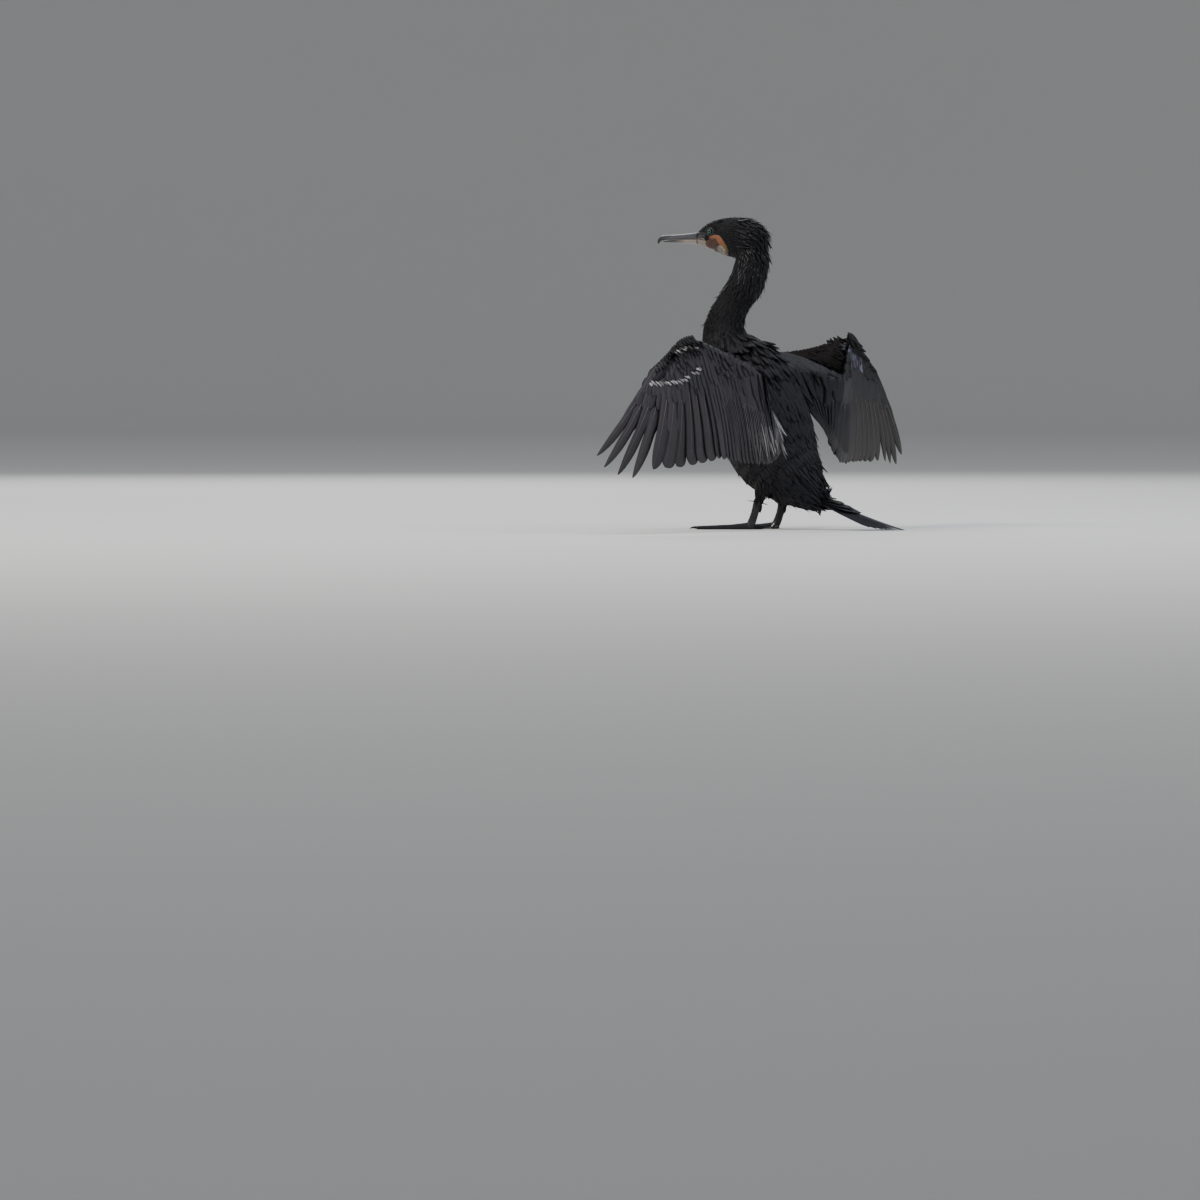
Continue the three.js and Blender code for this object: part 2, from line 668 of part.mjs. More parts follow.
add('bill_upper', upperBill(), colours.bill, 0.4);
add('bill_lower', lowerBill(), colours.bill, 0.4);
add('eye_left', eyeBall(1), colours.eye, 0.1);
add('eye_right', eyeBall(-1), colours.eye, 0.1);

const trunkWithGap = trunkLoft(gap, 24, 20);
add('wing_left', wingSolid(wingPoses.left, 21).subtract(trunkWithGap), colours.wing, 0.6);
add('wing_right', wingSolid(wingPoses.right, 22).subtract(trunkWithGap), colours.wing, 0.6);

const tail = tailSolid().subtract(trunkWithGap).trimByPlane([0, 0, 1], 0);
add('tail', tail, colours.tail, 0.6);

for (const [name, side] of [['left', -1], ['right', 1]]) {
  const thigh = largest(thighSolid(side).subtract(trunkWithGap));
  const ankle = at(11.5, (side * legSpacing) / 2, 47);
  const legAxis = at(0.3, 0, 1).normalize();
  const ankleCut = { normal: legAxis.toArray(), offset: legAxis.dot(ankle) };
  const footCut = { normal: [0, 0, 1], offset: 14 };
  const leg = below(above(legSolid(side), footCut), ankleCut);
  const ankleEnd = below(legSolid(side), footCut).trimByPlane([0, 0, 1], 0);
  add('thigh_' + name, above(thigh, ankleCut), colours.plumage, 0.85);
  add('leg_' + name, leg, colours.foot, 0.6);
  add('foot_' + name, join([footSolid(side), ankleEnd]), colours.foot, 0.55);
  for (const toe of toes) {
    const claw = above(clawSolid(side, toe), toeEnd(side, toe)).trimByPlane([0, 0, 1], 0);
    add('claw_' + name + '_' + toe.name, claw, colours.claw, 0.4);
  }
}

// The origin is on the floor, under the middle of the bird's outline.
const box = new THREE.Box3().setFromObject(bird);
bird.position.set(-(box.min.x + box.max.x) / 2, -(box.min.y + box.max.y) / 2, 0);
bird.updateMatrixWorld(true);

export default bird;
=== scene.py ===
# A great cormorant that holds its wings out to dry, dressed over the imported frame.
# Sizes are in millimetres from the bird's own origin, on the floor between its legs,
# with -x to the front, -y to the bird's left and z up.
import math

import bmesh
import bpy
import numpy as np
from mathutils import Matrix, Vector


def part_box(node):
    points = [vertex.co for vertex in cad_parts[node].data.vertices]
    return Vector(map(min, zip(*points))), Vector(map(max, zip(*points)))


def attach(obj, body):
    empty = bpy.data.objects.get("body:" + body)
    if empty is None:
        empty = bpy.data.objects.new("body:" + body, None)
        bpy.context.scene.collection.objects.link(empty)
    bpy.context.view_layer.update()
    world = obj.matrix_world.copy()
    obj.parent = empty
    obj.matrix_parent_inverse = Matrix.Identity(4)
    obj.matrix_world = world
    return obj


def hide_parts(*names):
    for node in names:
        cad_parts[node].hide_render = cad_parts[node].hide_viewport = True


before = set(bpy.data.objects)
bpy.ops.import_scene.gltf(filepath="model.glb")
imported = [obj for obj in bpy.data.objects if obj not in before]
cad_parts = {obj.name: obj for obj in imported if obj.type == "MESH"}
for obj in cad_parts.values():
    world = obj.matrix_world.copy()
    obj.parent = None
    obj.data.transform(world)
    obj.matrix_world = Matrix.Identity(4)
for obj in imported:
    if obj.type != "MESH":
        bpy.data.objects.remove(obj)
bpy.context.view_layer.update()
draw = np.random.default_rng(7)  # gives each feather its own share of the changes in colour

rearOfTorso = 0.1102  # metres from the origin back to the torso's rear
torsoLow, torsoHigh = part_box("torso")
birdOrigin = np.array((torsoHigh.x - rearOfTorso, (torsoLow.y + torsoHigh.y) / 2, 0.0))


def place(points):
    # millimetres in the bird's frame to metres in the row's frame
    return np.asarray(points, float) * 0.001 + birdOrigin


def toBird(points):
    return (np.asarray(points, float) - birdOrigin) * 1000


def mix(a, b, t):
    return a + (b - a) * t


def clamp(t, low=0.0, high=1.0):
    return min(max(t, low), high)


def ease(value, start, width):
    # 0 at the start and 1 a width further on, with soft ends; a negative width goes the other way
    t = np.clip((value - start) / width, 0, 1)
    return t * t * (3 - 2 * t)


def ridge(value, middle, width):
    return np.exp(-(((value - middle) / width) ** 2))


def unit(v):
    v = np.asarray(v, float)
    return v / np.maximum(np.linalg.norm(v, axis=-1, keepdims=True), 1e-9)


def flat(values, kind=np.float32):
    return np.ascontiguousarray(values, kind).ravel()


def curvePoint(points, t):
    # a smooth curve through the points, with t from 0 to 1
    spans = len(points) - 1
    where = clamp(t) * spans
    i = min(int(where), spans - 1)
    w = where - i
    p1, p2 = points[i], points[i + 1]
    p0 = points[i - 1] if i > 0 else 2 * p1 - p2
    p3 = points[i + 2] if i + 2 <= spans else 2 * p2 - p1
    d0, d1, d2 = [max(np.linalg.norm(b - a), 1e-6) ** 0.5 for a, b in ((p0, p1), (p1, p2), (p2, p3))]
    t1 = ((p1 - p0) / d0 - (p2 - p0) / (d0 + d1) + (p2 - p1) / d1) * d1
    t2 = ((p2 - p1) / d1 - (p3 - p1) / (d1 + d2) + (p3 - p2) / d2) * d1
    return p1 + t1 * w + (3 * p2 - 3 * p1 - 2 * t1 - t2) * w**2 + (2 * p1 - 2 * p2 + t1 + t2) * w**3


def linear(hexColour):
    values = np.array([int(hexColour[i : i + 2], 16) / 255 for i in (1, 3, 5)])
    return np.where(values < 0.04045, values / 12.92, ((values + 0.055) / 1.055) ** 2.4)


def rgba(hexColour):
    return [*linear(hexColour), 1.0]


def select(*objects):
    bpy.ops.object.select_all(action="DESELECT")
    for o in objects:
        o.select_set(True)
    bpy.context.view_layer.objects.active = objects[0]


def turnTo(thing, direction):
    thing.rotation_mode = "QUATERNION"
    thing.rotation_quaternion = direction.to_track_quat("-Z", "Y")


# Camera: a long lens, almost level, from behind the bird's left side
cameraPlan = {
    "azimuth": 28.0, "elevation": 1.5, "distance": 15.0, "sensor": 36.0,
    "viewWidth": 1.92,  # metres across the picture at the bird
    "picture": 1200, "originAt": (765, 529),  # the picture's size and the bird's origin there, in pixels
}


def addCamera(plan):
    a, e = math.radians(plan["azimuth"]), math.radians(plan["elevation"])
    right = Vector((math.cos(a), math.sin(a), 0))
    back = Vector((math.sin(a) * math.cos(e), -math.cos(a) * math.cos(e), math.sin(e)))
    middle, perPixel = plan["picture"] / 2, plan["viewWidth"] / plan["picture"]
    across = (middle - plan["originAt"][0]) * perPixel
    upward = (plan["originAt"][1] - middle) * perPixel
    target = Vector(birdOrigin) + right * across + back.cross(right) * upward
    bpy.ops.object.camera_add(location=target + back * plan["distance"])
    camera = bpy.context.object
    camera.name = "camera"
    turnTo(camera, -back)
    camera.data.sensor_width = plan["sensor"]
    camera.data.lens = plan["sensor"] * plan["distance"] / plan["viewWidth"]
    camera.data.clip_end = 100
    bpy.context.scene.camera = camera


addCamera(cameraPlan)


# Materials
bumpDepth = 0.0006  # metres
hornIor, skinIor = 1.54, 1.45


def startMaterial(name, settings):
    material = bpy.data.materials.new(name)
    material.use_nodes = True
    shader = material.node_tree.nodes["Principled BSDF"]
    for key, value in settings.items():
        shader.inputs[key].default_value = value
    return material, material.node_tree, shader


def addNode(tree, kind, settings=None, links=None, **attributes):
    node = tree.nodes.new("ShaderNode" + kind)
    for key, value in attributes.items():
        setattr(node, key, value)
    for key, value in (settings or {}).items():
        node.inputs[key].default_value = value
    for key, source in (links or {}).items():
        tree.links.new(source, node.inputs[key])
    return node


def noise(tree, scale, detail, where):
    return addNode(tree, "TexNoise", {"Scale": scale, "Detail": detail}, {"Vector": where}).outputs["Fac"]


def ramp(tree, source, stops):
    # a value turned to colours, given as hex or as grey levels
    node = addNode(tree, "ValToRGB", links={"Fac": source})
    elements = node.color_ramp.elements
    while len(elements) < len(stops):
        elements.new(0.5)
    for element, (position, colour) in zip(elements, stops):
        element.position = position
        element.color = rgba(colour) if isinstance(colour, str) else (colour, colour, colour, 1)
    return node.outputs["Color"]


def shaded(tree, colour, source, stops):
    # the colour times a ramp
    links = {6: colour, 7: ramp(tree, source, stops)}
    return addNode(tree, "Mix", {"Factor": 1.0}, links, data_type="RGBA", blend_type="MULTIPLY").outputs[2]


def spread(amount):
    # stops that lighten and darken by the amount over the middle of a noise
    return [(0.3, 1 - amount), (0.7, 1 + amount)]


def readTint(tree):
    return addNode(tree, "Attribute", attribute_name="tint").outputs["Color"]


def readVane(tree):
    vane = addNode(tree, "UVMap", uv_map="vane").outputs["UV"]
    parted = addNode(tree, "SeparateXYZ", links={"Vector": vane})
    return parted.outputs["X"], parted.outputs["Y"]


def finishMaterial(tree, shader, colour, height=None, strength=0.0, inward=False):
    tree.links.new(colour, shader.inputs["Base Color"])
    if height is not None:
        bump = addNode(tree, "Bump", {"Strength": strength, "Distance": bumpDepth}, {"Height": height})
        bump.invert = inward
        tree.links.new(bump.outputs["Normal"], shader.inputs["Normal"])


def featherMaterial(name, look):
    # Vanes of keratin barbs, black with melanin: a dull gloss with streaks that lean out from the shaft.
    settings = {"IOR": hornIor, "Roughness": look["roughness"], "Specular IOR Level": 0.24}
    material, tree, shader = startMaterial(name, settings)
    across, along = readVane(tree)
    pick = addNode(tree, "Attribute", attribute_name="pick").outputs["Fac"]
    # real barbs are 0.4 mm apart, these are as coarse as the render shows
    centred = addNode(tree, "Math", {1: 0.5}, {0: across}, operation="SUBTRACT").outputs[0]
    folded = addNode(tree, "Math", links={0: centred}, operation="ABSOLUTE").outputs[0]
    lean = {1: -look["barbLean"]}
    leaned = addNode(tree, "Math", lean, {0: folded, 2: along}, operation="MULTIPLY_ADD").outputs[0]
    spot = addNode(tree, "CombineXYZ", links={"X": leaned, "Y": pick}).outputs["Vector"]
    stretched = addNode(tree, "Mapping", {"Scale": (look["barbs"], 37, 1)}, {"Vector": spot})
    barbs = noise(tree, 1.0, 2.0, stretched.outputs["Vector"])
    colour = readTint(tree)
    # each along ramp darkens the feather towards its root, painted shade from the feathers that lie over it
    for source, stops in [
        (across, look["across"]), (along, look["along"]),
        (pick, [(0, 1 - look["varied"]), (1, 1 + look["varied"])]), (barbs, spread(look["streaks"])),
    ]:
        colour = shaded(tree, colour, source, stops)
    finishMaterial(tree, shader, colour, barbs, look["bump"])
    return material


# Small body feathers: near black, soft, with a thin paler fringe all round.
bodyFeather = featherMaterial("blackContourFeathers", {
    "roughness": 0.52, "barbLean": 0.5, "barbs": 12, "varied": 0.25, "streaks": 0.3, "bump": 0.3,
    "across": [(0, 1.1), (0.42, 1.0), (0.5, 0.85), (0.58, 1.0), (1, 1.1)],
    "along": [(0, 0.75), (0.6, 1.0), (1.0, 1.2)],
})
# Scaly feathers of the mantle and the small wing coverts: bronze grey with a dark rim, which parts them.
scalyFeather = featherMaterial("bronzeWingCoverts", {
    "roughness": 0.62, "barbLean": 0.35, "barbs": 24, "varied": 0.14, "streaks": 0.14, "bump": 0.35,
    "across": [
        (0, 0.35), (0.08, 0.5), (0.17, 1.0), (0.47, 1.05), (0.5, 0.5), (0.53, 1.05), (0.83, 1.0), (1, 0.4),
    ],
    "along": [(0, 0.75), (0.84, 1.0), (0.91, 0.6), (0.96, 0.4)],
})
# Long coverts: smooth and even, told apart only by their shafts and by painted shade that darkens their
# edges.
covertFeather = featherMaterial("smoothWingCoverts", {
    "roughness": 0.58, "barbLean": 0.25, "barbs": 40, "varied": 0.12, "streaks": 0.16, "bump": 0.3,
    "across": [(0, 0.8), (0.08, 1.0), (0.47, 1.05), (0.5, 0.65), (0.53, 1.05), (0.9, 1.0), (1, 0.75)],
    "along": [(0, 0.9), (0.8, 1.0), (1.0, 1.12)],
})
# Scapulars: loose, their edges and tips bleached paler by sun and wear.
scapularFeather = featherMaterial("wornScapulars", {
    "roughness": 0.6, "barbLean": 0.3, "barbs": 30, "varied": 0.25, "streaks": 0.22, "bump": 0.4,
    "across": [
        (0, 1.6), (0.07, 1.25), (0.14, 0.95), (0.47, 1.0), (0.5, 0.55), (0.53, 1.0), (0.86, 0.95),
        (0.93, 1.2), (1, 1.5),
    ],
    "along": [(0, 0.7), (0.6, 1.0), (0.9, 1.1), (1.0, 1.4)],
})
# Flight and tail feathers: stiff, finely barbed, with a dark line by the shaft; their edges are darkened as
# painted shade where they overlap.
flightFeather = featherMaterial("stiffFlightFeathers", {
    "roughness": 0.56, "barbLean": 0.1, "barbs": 90, "varied": 0.1, "streaks": 0.14, "bump": 0.3,
    "across": [
        (0, 0.6), (0.07, 0.95), (0.46, 1.05), (0.485, 0.5), (0.515, 0.5), (0.54, 1.0), (0.86, 0.9),
        (1, 0.45),
    ],
    "along": [(0, 0.85), (0.5, 1.0), (0.93, 1.0), (1.0, 1.25)],
})


def quillMaterial():
    # Solid keratin shafts: smooth and horny, a little glossier than the vanes, grey at the root.
    material, tree, shader = startMaterial("hornyQuills", {"IOR": hornIor, "Roughness": 0.3})
    along = readVane(tree)[1]
    finishMaterial(tree, shader, ramp(tree, along, [(0, "#6d6866"), (0.5, "#5c5856"), (1, "#3a3836")]))
    return material


def hideMaterial(name, look):
    # Skin or horn: a painted colour for each point, mottled, with a bump whose grain has a real size.
    settings = {"IOR": look["ior"], "Roughness": look["roughness"]} | look.get("shader", {})
    material, tree, shader = startMaterial(name, settings)
    where = addNode(tree, "TexCoord").outputs["Object"]
    squeeze = {"Scale": look.get("squeeze", (1, 1, 1))}
    where = addNode(tree, "Mapping", squeeze, {"Vector": where}).outputs["Vector"]
    mottle = noise(tree, 1000 / look["mottleSize"], 3.0, where)
    cells = look["pebbles"] == "cells"
    fine = 1000 / look["grainSize"]
    if cells:
        grain = addNode(tree, "TexVoronoi", {"Scale": fine}, {"Vector": where}, feature="SMOOTH_F1")
        height = grain.outputs["Distance"]
    else:
        height = noise(tree, fine, 2.0, where)
    colour = shaded(tree, readTint(tree), mottle, spread(look["mottle"]))
    finishMaterial(tree, shader, colour, height, look["bump"], cells)
    return material


quillHorn = quillMaterial()
# Down and hide under the feathers: matt and dark, seen only between them.
downyHide = hideMaterial("downyHideUnderFeathers", {
    "ior": skinIor, "roughness": 0.75, "mottle": 0.25, "mottleSize": 5,
    "pebbles": "noise", "grainSize": 2.5, "bump": 0.4,
})
# Bare skin of the face: thin, slightly greasy and pebbled, with a little light passing into it.
facialSkin = hideMaterial("bareFacialSkin", {
    "ior": skinIor, "roughness": 0.48, "mottle": 0.3, "mottleSize": 2.4,
    "pebbles": "cells", "grainSize": 1.3, "bump": 0.5,
    "shader": {"Subsurface Weight": 0.08, "Subsurface Radius": (0.002, 0.001, 0.0006)},
})
# Sheath of the bill: smooth keratin with a clear gloss and fine growth lines along it.
billHorn = hideMaterial("hornyBillSheath", {
    "ior": hornIor, "roughness": 0.34, "mottle": 0.16, "mottleSize": 2.2,
    "pebbles": "noise", "grainSize": 1.4, "bump": 0.25, "squeeze": (0.25, 0.3, 1.4),
})
# Feet: black leathery skin, its scales about 2 mm across and shining at their crowns.
footSkin = hideMaterial("scaledFootSkin", {
    "ior": 1.5, "roughness": 0.42, "mottle": 0.3, "mottleSize": 6,
    "pebbles": "cells", "grainSize": 2.0, "bump": 0.8,
})
# Claws: hard black horn, the glossiest part of the feet.
clawHorn = hideMaterial("blackClawHorn", {
    "ior": hornIor, "roughness": 0.28, "mottle": 0.2, "mottleSize": 2,
    "pebbles": "noise", "grainSize": 1.2, "bump": 0.15,
})


# Meshes and pieces
def readRows(items, key, kind=np.float32):
    values = np.empty(len(items) * 3, kind)
    items.foreach_get(key, values)
    return values.reshape(-1, 3)


def meshShape(mesh):
    # the mesh's points in the bird's frame and its normals
    points, normals = readRows(mesh.vertices, "co"), readRows(mesh.vertex_normals, "vector")
    return toBird(points), normals.astype(float)


def setPoints(mesh, points):
    mesh.vertices.foreach_set("co", flat(points))
    mesh.update()


def layered(count, base, layers=()):
    # a base colour for each point with tones laid over it, each as far as its shares say
    colour = np.tile(linear(base), (count, 1))
    for shares, tone in layers:
        colour = mix(colour, linear(tone) if isinstance(tone, str) else tone, shares[:, None])
    return colour


def paint(mesh, colours):
    layer = mesh.attributes.new("tint", "FLOAT_COLOR", "POINT")
    layer.data.foreach_set("color", flat(np.concatenate([colours, np.ones((len(colours), 1))], axis=1)))


def addPiece(name, mesh):
    piece = bpy.data.objects.new(name, mesh)
    bpy.context.scene.collection.objects.link(piece)
    return piece


def carry(piece, material, nodes):
    # the piece gets its material, rides on the bird's one body and stands for the CAD nodes
    piece.data.materials.clear()
    piece.data.materials.append(material)
    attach(piece, "root")
    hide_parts(*nodes)


def smoothShell(piece, voxel, rounds):
    # one closed surface round all the parts, with its steps smoothed away
    for kind, settings in [
        ("REMESH", {"mode": "VOXEL", "voxel_size": voxel * 0.001}),
        ("SMOOTH", {"factor": 0.5, "iterations": rounds}),
    ]:
        select(piece)
        modifier = piece.modifiers.new(kind.lower(), kind)
        for key, value in settings.items():
            setattr(modifier, key, value)
        bpy.ops.object.modifier_apply(modifier=modifier.name)


def loftMesh(name, rings):
    count = rings.shape[1]
    bm = bmesh.new()
    made = [[bm.verts.new(p) for p in place(ring)] for ring in rings]
    for a, b in zip(made, made[1:]):
        for i in range(count):
            j = (i + 1) % count
            bm.faces.new((a[i], a[j], b[j], b[i]))
    bm.faces.new(made[0][::-1])
    bm.faces.new(made[-1])
    bmesh.ops.triangulate(bm, faces=[f for f in bm.faces if len(f.verts) > 4])
    bmesh.ops.recalc_face_normals(bm, faces=bm.faces)
    mesh = bpy.data.meshes.new(name)
    bm.to_mesh(mesh)
    bm.free()
    return mesh


# Feathers
# A batch of feathers holds, for each one, its rows of middle points, the directions across and outwards,
# the half widths on the two sides, the bulge at the shaft, half the thickness, its colour and its patch
# of the OFBake map. All feathers of a batch have their rows at the same shares of their length.
def addFeathers(name, batch, columns, material, nodes, double=True):
    count, rows = batch["middle"].shape[:2]
    middle, across, outward = [batch[key][:, :, None] for key in ("middle", "across", "outward")]
    places = np.linspace(-1, 1, columns)
    wide = np.where(places < 0, batch["left"][..., None], batch["right"][..., None])
    crown = batch["crown"][..., None] * (1 - places**2)
    ring = middle + across * (places * wide)[..., None] + outward * crown[..., None]
    under = places[1:-1][::-1] if double else places[:0]
    if double:
        sink = 2 * batch["thick"][..., None] * (1 - 0.3 * np.abs(under))
        ring = np.concatenate([ring, ring[:, :, 1:-1][:, :, ::-1] - outward * sink[..., None]], axis=2)
    sides = ring.shape[2]
    step = np.arange(sides)
    following = (step + 1) % sides
    tube = np.stack([step, following, following + sides, step + sides], 1)[:, ::-1]
    quads = (np.arange(rows - 1)[:, None, None] * sides + tube).ravel()
    caps = [step, (rows - 1) * sides + step[::-1]]
    base = (np.arange(count) * rows * sides)[:, None]
    loops = flat(base + np.concatenate([quads, *caps]), np.int32)
    totals = np.tile([4] * (len(quads) // 4) + [sides, sides], count)
    mesh = bpy.data.meshes.new(name)
    mesh.vertices.add(count * rows * sides)
    mesh.vertices.foreach_set("co", flat(place(ring)))
    mesh.loops.add(loops.size)
    mesh.loops.foreach_set("vertex_index", loops)
    mesh.polygons.add(len(totals))
    mesh.polygons.foreach_set("loop_start", flat(np.cumsum(totals) - totals, np.int32))
    mesh.polygons.foreach_set("loop_total", flat(totals, np.int32))
    mesh.update(calc_edges=True)
    # the vane map runs across from 0 to 1 and from the root at 0 to the tip at 1
    u, v = np.concatenate([places, under]) * 0.5 + 0.5, np.asarray(batch["share"])[:, None]
    vane = np.stack([np.broadcast_to(part, (count, rows, sides)) for part in (u, v)], -1)
    patch = batch["patch"][:, None, None]
    for mapName, uv in [("OFBake", patch[..., :2] + vane * patch[..., 2:]), ("vane", vane)]:
        layer = mesh.uv_layers.new(name=mapName)
        layer.data.foreach_set("uv", flat(uv.reshape(-1, 2)[loops]))
    paint(mesh, np.repeat(batch["tint"], rows * sides, axis=0))
    pick = mesh.attributes.new("pick", "FLOAT", "POINT")
    pick.data.foreach_set("value", flat(np.repeat(draw.random(count), rows * sides)))
    carry(addPiece(name, mesh), material, nodes)


def joinBatches(batches):
    whole = {key: np.concatenate([b[key] for b in batches]) for key in batches[0] if key != "share"}
    return whole | {"share": batches[0].get("share")}


def gather(feathers, shares, margin=0.05):
    # one batch, in which each feather has its own strip of the OFBake map
    count = len(feathers)
    x, full = np.arange(count) / count, np.ones(count)
    strips = [x + margin * 0.5 / count, full * 0.02, full * ((1 - margin) / count), full * 0.96]
    return joinBatches(feathers) | {"share": shares, "patch": np.stack(strips, 1)}


def rootPatches(spots):
    # small squares of the OFBake map at the roots' places on the unrolled surface
    return np.column_stack([np.clip(spots, 0, 1) * 0.99 + 0.002, np.full((len(spots), 2), 0.003)])


def outline(rows, root, tipLength, tipPower=2.0, end=0.1):
    # shares along a feather and its half width there: a quill, parallel edges and a rounded or pointed tip
    tail = 1 - tipLength * np.array([0.75, 0.5, 0.28, 0.12, 0])
    shares = np.concatenate([np.linspace(0, 1 - tipLength, rows - 5), tail])
    closing = np.clip((shares - (1 - tipLength)) / tipLength, 0, 1)
    return shares, np.maximum(mix(root, 1, ease(shares, 0, 0.22)) * (1 - closing**tipPower) ** 0.6, end)


# Wings: feather places are numbered from 0 at the wing's tip to 25 at the shoulder
lastPlace = 25
rootPlace = 26.6  # where the coverts meet the back
wristPlace = 10
elbowPlace = 22
wingPlans = {
    "left": {
        "side": -1, "elbow": (60, 135, 243.9), "wrist": (12, 270, 297.4), "finger": (-4, 375, 252.6),
        "tips": [  # place, then x, y and z of the feather's tip
            (0, -5.6, 562, 122.9), (1, 2, 553, 104.8), (2, 16, 533, 93.5), (3, 26, 504, 88),
            (4, 42, 468, 100.3), (7, 58, 372, 107.3), (10, 68, 292, 113.6), (14, 64, 222, 109.9),
            (18, 70, 163, 103.6), (21, 78, 126, 107.9), (23, 84, 106, 125.5), (25, 80, 92, 151.1),
            (26.6, 68, 74, 172),
        ],
        # paler than the right wing's tints: painted light, as both wings have one plumage
        "colours": {
            "hand": "#3a3639", "arm": "#3b383c", "shoulder": "#4b494d", "coverts": "#37353a",
            "scapulars": "#302e34", "worn": "#5c5a5e",
        },
    },
    "right": {
        "side": 1, "elbow": (60, 135, 239.6), "wrist": (10, 270, 298.9), "finger": (-1, 374, 258.3),
        "tips": [
            (0, -24, 545, 114.1), (1, -31, 537, 98.2), (2, -30, 518, 99.6), (3, -27, 488, 103.4),
            (4, -22, 455, 105.2), (7, -8, 364, 105.5), (10, 10, 288, 103.5), (14, 30, 222, 101.2),
            (18, 48, 165, 108.8), (21, 54, 130, 127.7), (23, 56, 108, 148.2), (25, 52, 90, 168.6),
            (26.6, 46, 74, 185),
        ],
        # darker than the left wing's tints: painted shade, as both wings have one plumage
        "colours": {
            "hand": "#2b2827", "arm": "#222124", "shoulder": "#1e1d21", "coverts": "#252429",
            "scapulars": "#232226", "worn": "#35343a",
        },
    },
}
wingRoots = {"shoulder": (-42, 52, 262), "frontRoot": (-62, 56, 277), "camber": 0.16}


def handShare(f):
    # 0 inside the wrist and 1 at the wing's tip
    return clamp((wristPlace - f) / wristPlace)


class WingSurface:
    # the wing as a surface: where a feather of any place begins and ends, and where its upper side faces
    def __init__(self, plan):
        self.side, self.colours = plan["side"], plan["colours"]
        self.stops = [number for number, *_ in plan["tips"]]
        self.tipPoints = [self.flip(p) for _, *p in plan["tips"]]
        self.finger, self.wrist, self.elbow = [self.flip(plan[k]) for k in ("finger", "wrist", "elbow")]
        self.shoulder, self.frontRoot = [self.flip(wingRoots[k]) for k in ("shoulder", "frontRoot")]
        self.tips = {}

    def flip(self, p):
        return np.array((p[0], p[1] * self.side, p[2]), float)

    def bone(self, f):
        if f < wristPlace:
            return mix(self.finger, self.wrist, max(f, -0.25) / wristPlace)
        if f < elbowPlace:
            return mix(self.wrist, self.elbow, (f - wristPlace) / (elbowPlace - wristPlace))
        return mix(self.elbow, self.shoulder, (f - elbowPlace) / (lastPlace - elbowPlace) * 0.72)

    def tip(self, f):
        key = round(f, 4)
        if key not in self.tips:
            k = max(next((i for i, s in enumerate(self.stops) if s > f), len(self.stops) - 1), 1)
            share = (f - self.stops[k - 1]) / (self.stops[k] - self.stops[k - 1])
            self.tips[key] = curvePoint(self.tipPoints, (k - 1 + share) / (len(self.stops) - 1))
        return self.tips[key]

    def front(self, f):
        if f < wristPlace:
            forward = unit(self.bone(f) - self.tip(f))
            return self.bone(f) + forward * (5 + 11 * math.sin(f / wristPlace * math.pi))
        share = (f - wristPlace) / (lastPlace - wristPlace)
        edge = mix(self.wrist + np.array((-8, 0, 4)), self.frontRoot, share * 0.86)
        return edge - np.array((0, 0, 9 * math.sin(share * math.pi)))

    def rough(self, f, c):
        return mix(self.bone(f), self.tip(f), c)

    def away(self, f, c):
        chord = self.rough(f, 1) - self.rough(f, 0)
        span = self.rough(min(f + 1.5, rootPlace), c) - self.rough(max(f - 1.5, 0), c)
        return unit(np.cross(chord, span) * -self.side)

    def girth(self, f):
        return mix(5, 10, min(f / lastPlace * 1.6, 1))

    def lengths(self, f):
        # from the front edge to the bone, and from the bone to the feather's tip
        spans = self.front(f) - self.bone(f), self.rough(f, 1) - self.rough(f, 0)
        return [np.linalg.norm(span) for span in spans]

    def chord(self, f, x):
        # a point of the middle surface, x mm back from the front edge, and the direction away from it
        e, length = self.lengths(f)
        if x < e:
            return mix(self.front(f), self.bone(f), x / e), self.away(f, 0)
        c = (x - e) / length
        away = self.away(f, c)
        return self.rough(f, c) + away * (wingRoots["camber"] * length * c * (1 - c)), away

    def padding(self, f, x):
        # half the thickness of the arm and hand there
        e, length = self.lengths(f)
        stops = [0, e, e + 0.14 * length, e + 0.3 * length, e + 0.46 * length]
        return self.girth(f) * np.interp(x, stops, [0.3, 0.8, 0.5, 0.16, 0.0])


plainLook = {
    "face": 1,  # 1 on the upper side, -1 on the under side
    "padded": True,  # whether it lies on the arm's flesh
    "tilt": 6,  # degrees that it rolls under its neighbour
    "stack": (0, 0),  # height of its root and its tip over the layer below
    "slant": 0,  # places that its tip lies further inwards
    "curl": 0, "notch": 1, "leading": 0.85, "crown": 0.06, "thick": 0.25,
}


def wingFeather(wing, f, start, length, width, look):
    # one feather that lies back over the wing, its root start mm behind the front edge
    look = plainLook | look
    shares, widths = look["outline"]
    face, leading, notch = look["face"], look["leading"], look["notch"]
    middle, away = np.zeros((len(shares), 3)), np.zeros((len(shares), 3))
    for r, t in enumerate(shares):
        number = clamp(f + look["slant"] * t, -0.2, rootPlace)
        x = start + t * length
        spot, away[r] = wing.chord(number, x)
        lift = mix(*look["stack"], math.sqrt(t)) + look["curl"] * t**2.5
        if look["padded"]:
            lift += wing.padding(number, x)
        middle[r] = spot + away[r] * lift * face
    along = unit(np.gradient(middle, axis=0))
    across = unit(np.cross(away, along))
    across = unit(across + away * (math.tan(math.radians(look["tilt"])) * wing.side * face))
    half = width / 2 * widths
    sides = [half * leading * notch, half * (2 - leading) * notch][:: -wing.side]
    return {
        "middle": middle[None], "across": across[None], "outward": unit(np.cross(along, across))[None],
        "left": sides[0][None], "right": sides[1][None], "crown": (look["crown"] * half * 2 * face)[None],
        "thick": np.full((1, len(shares)), look["thick"]), "tint": np.asarray(look["tint"], float)[None],
    }


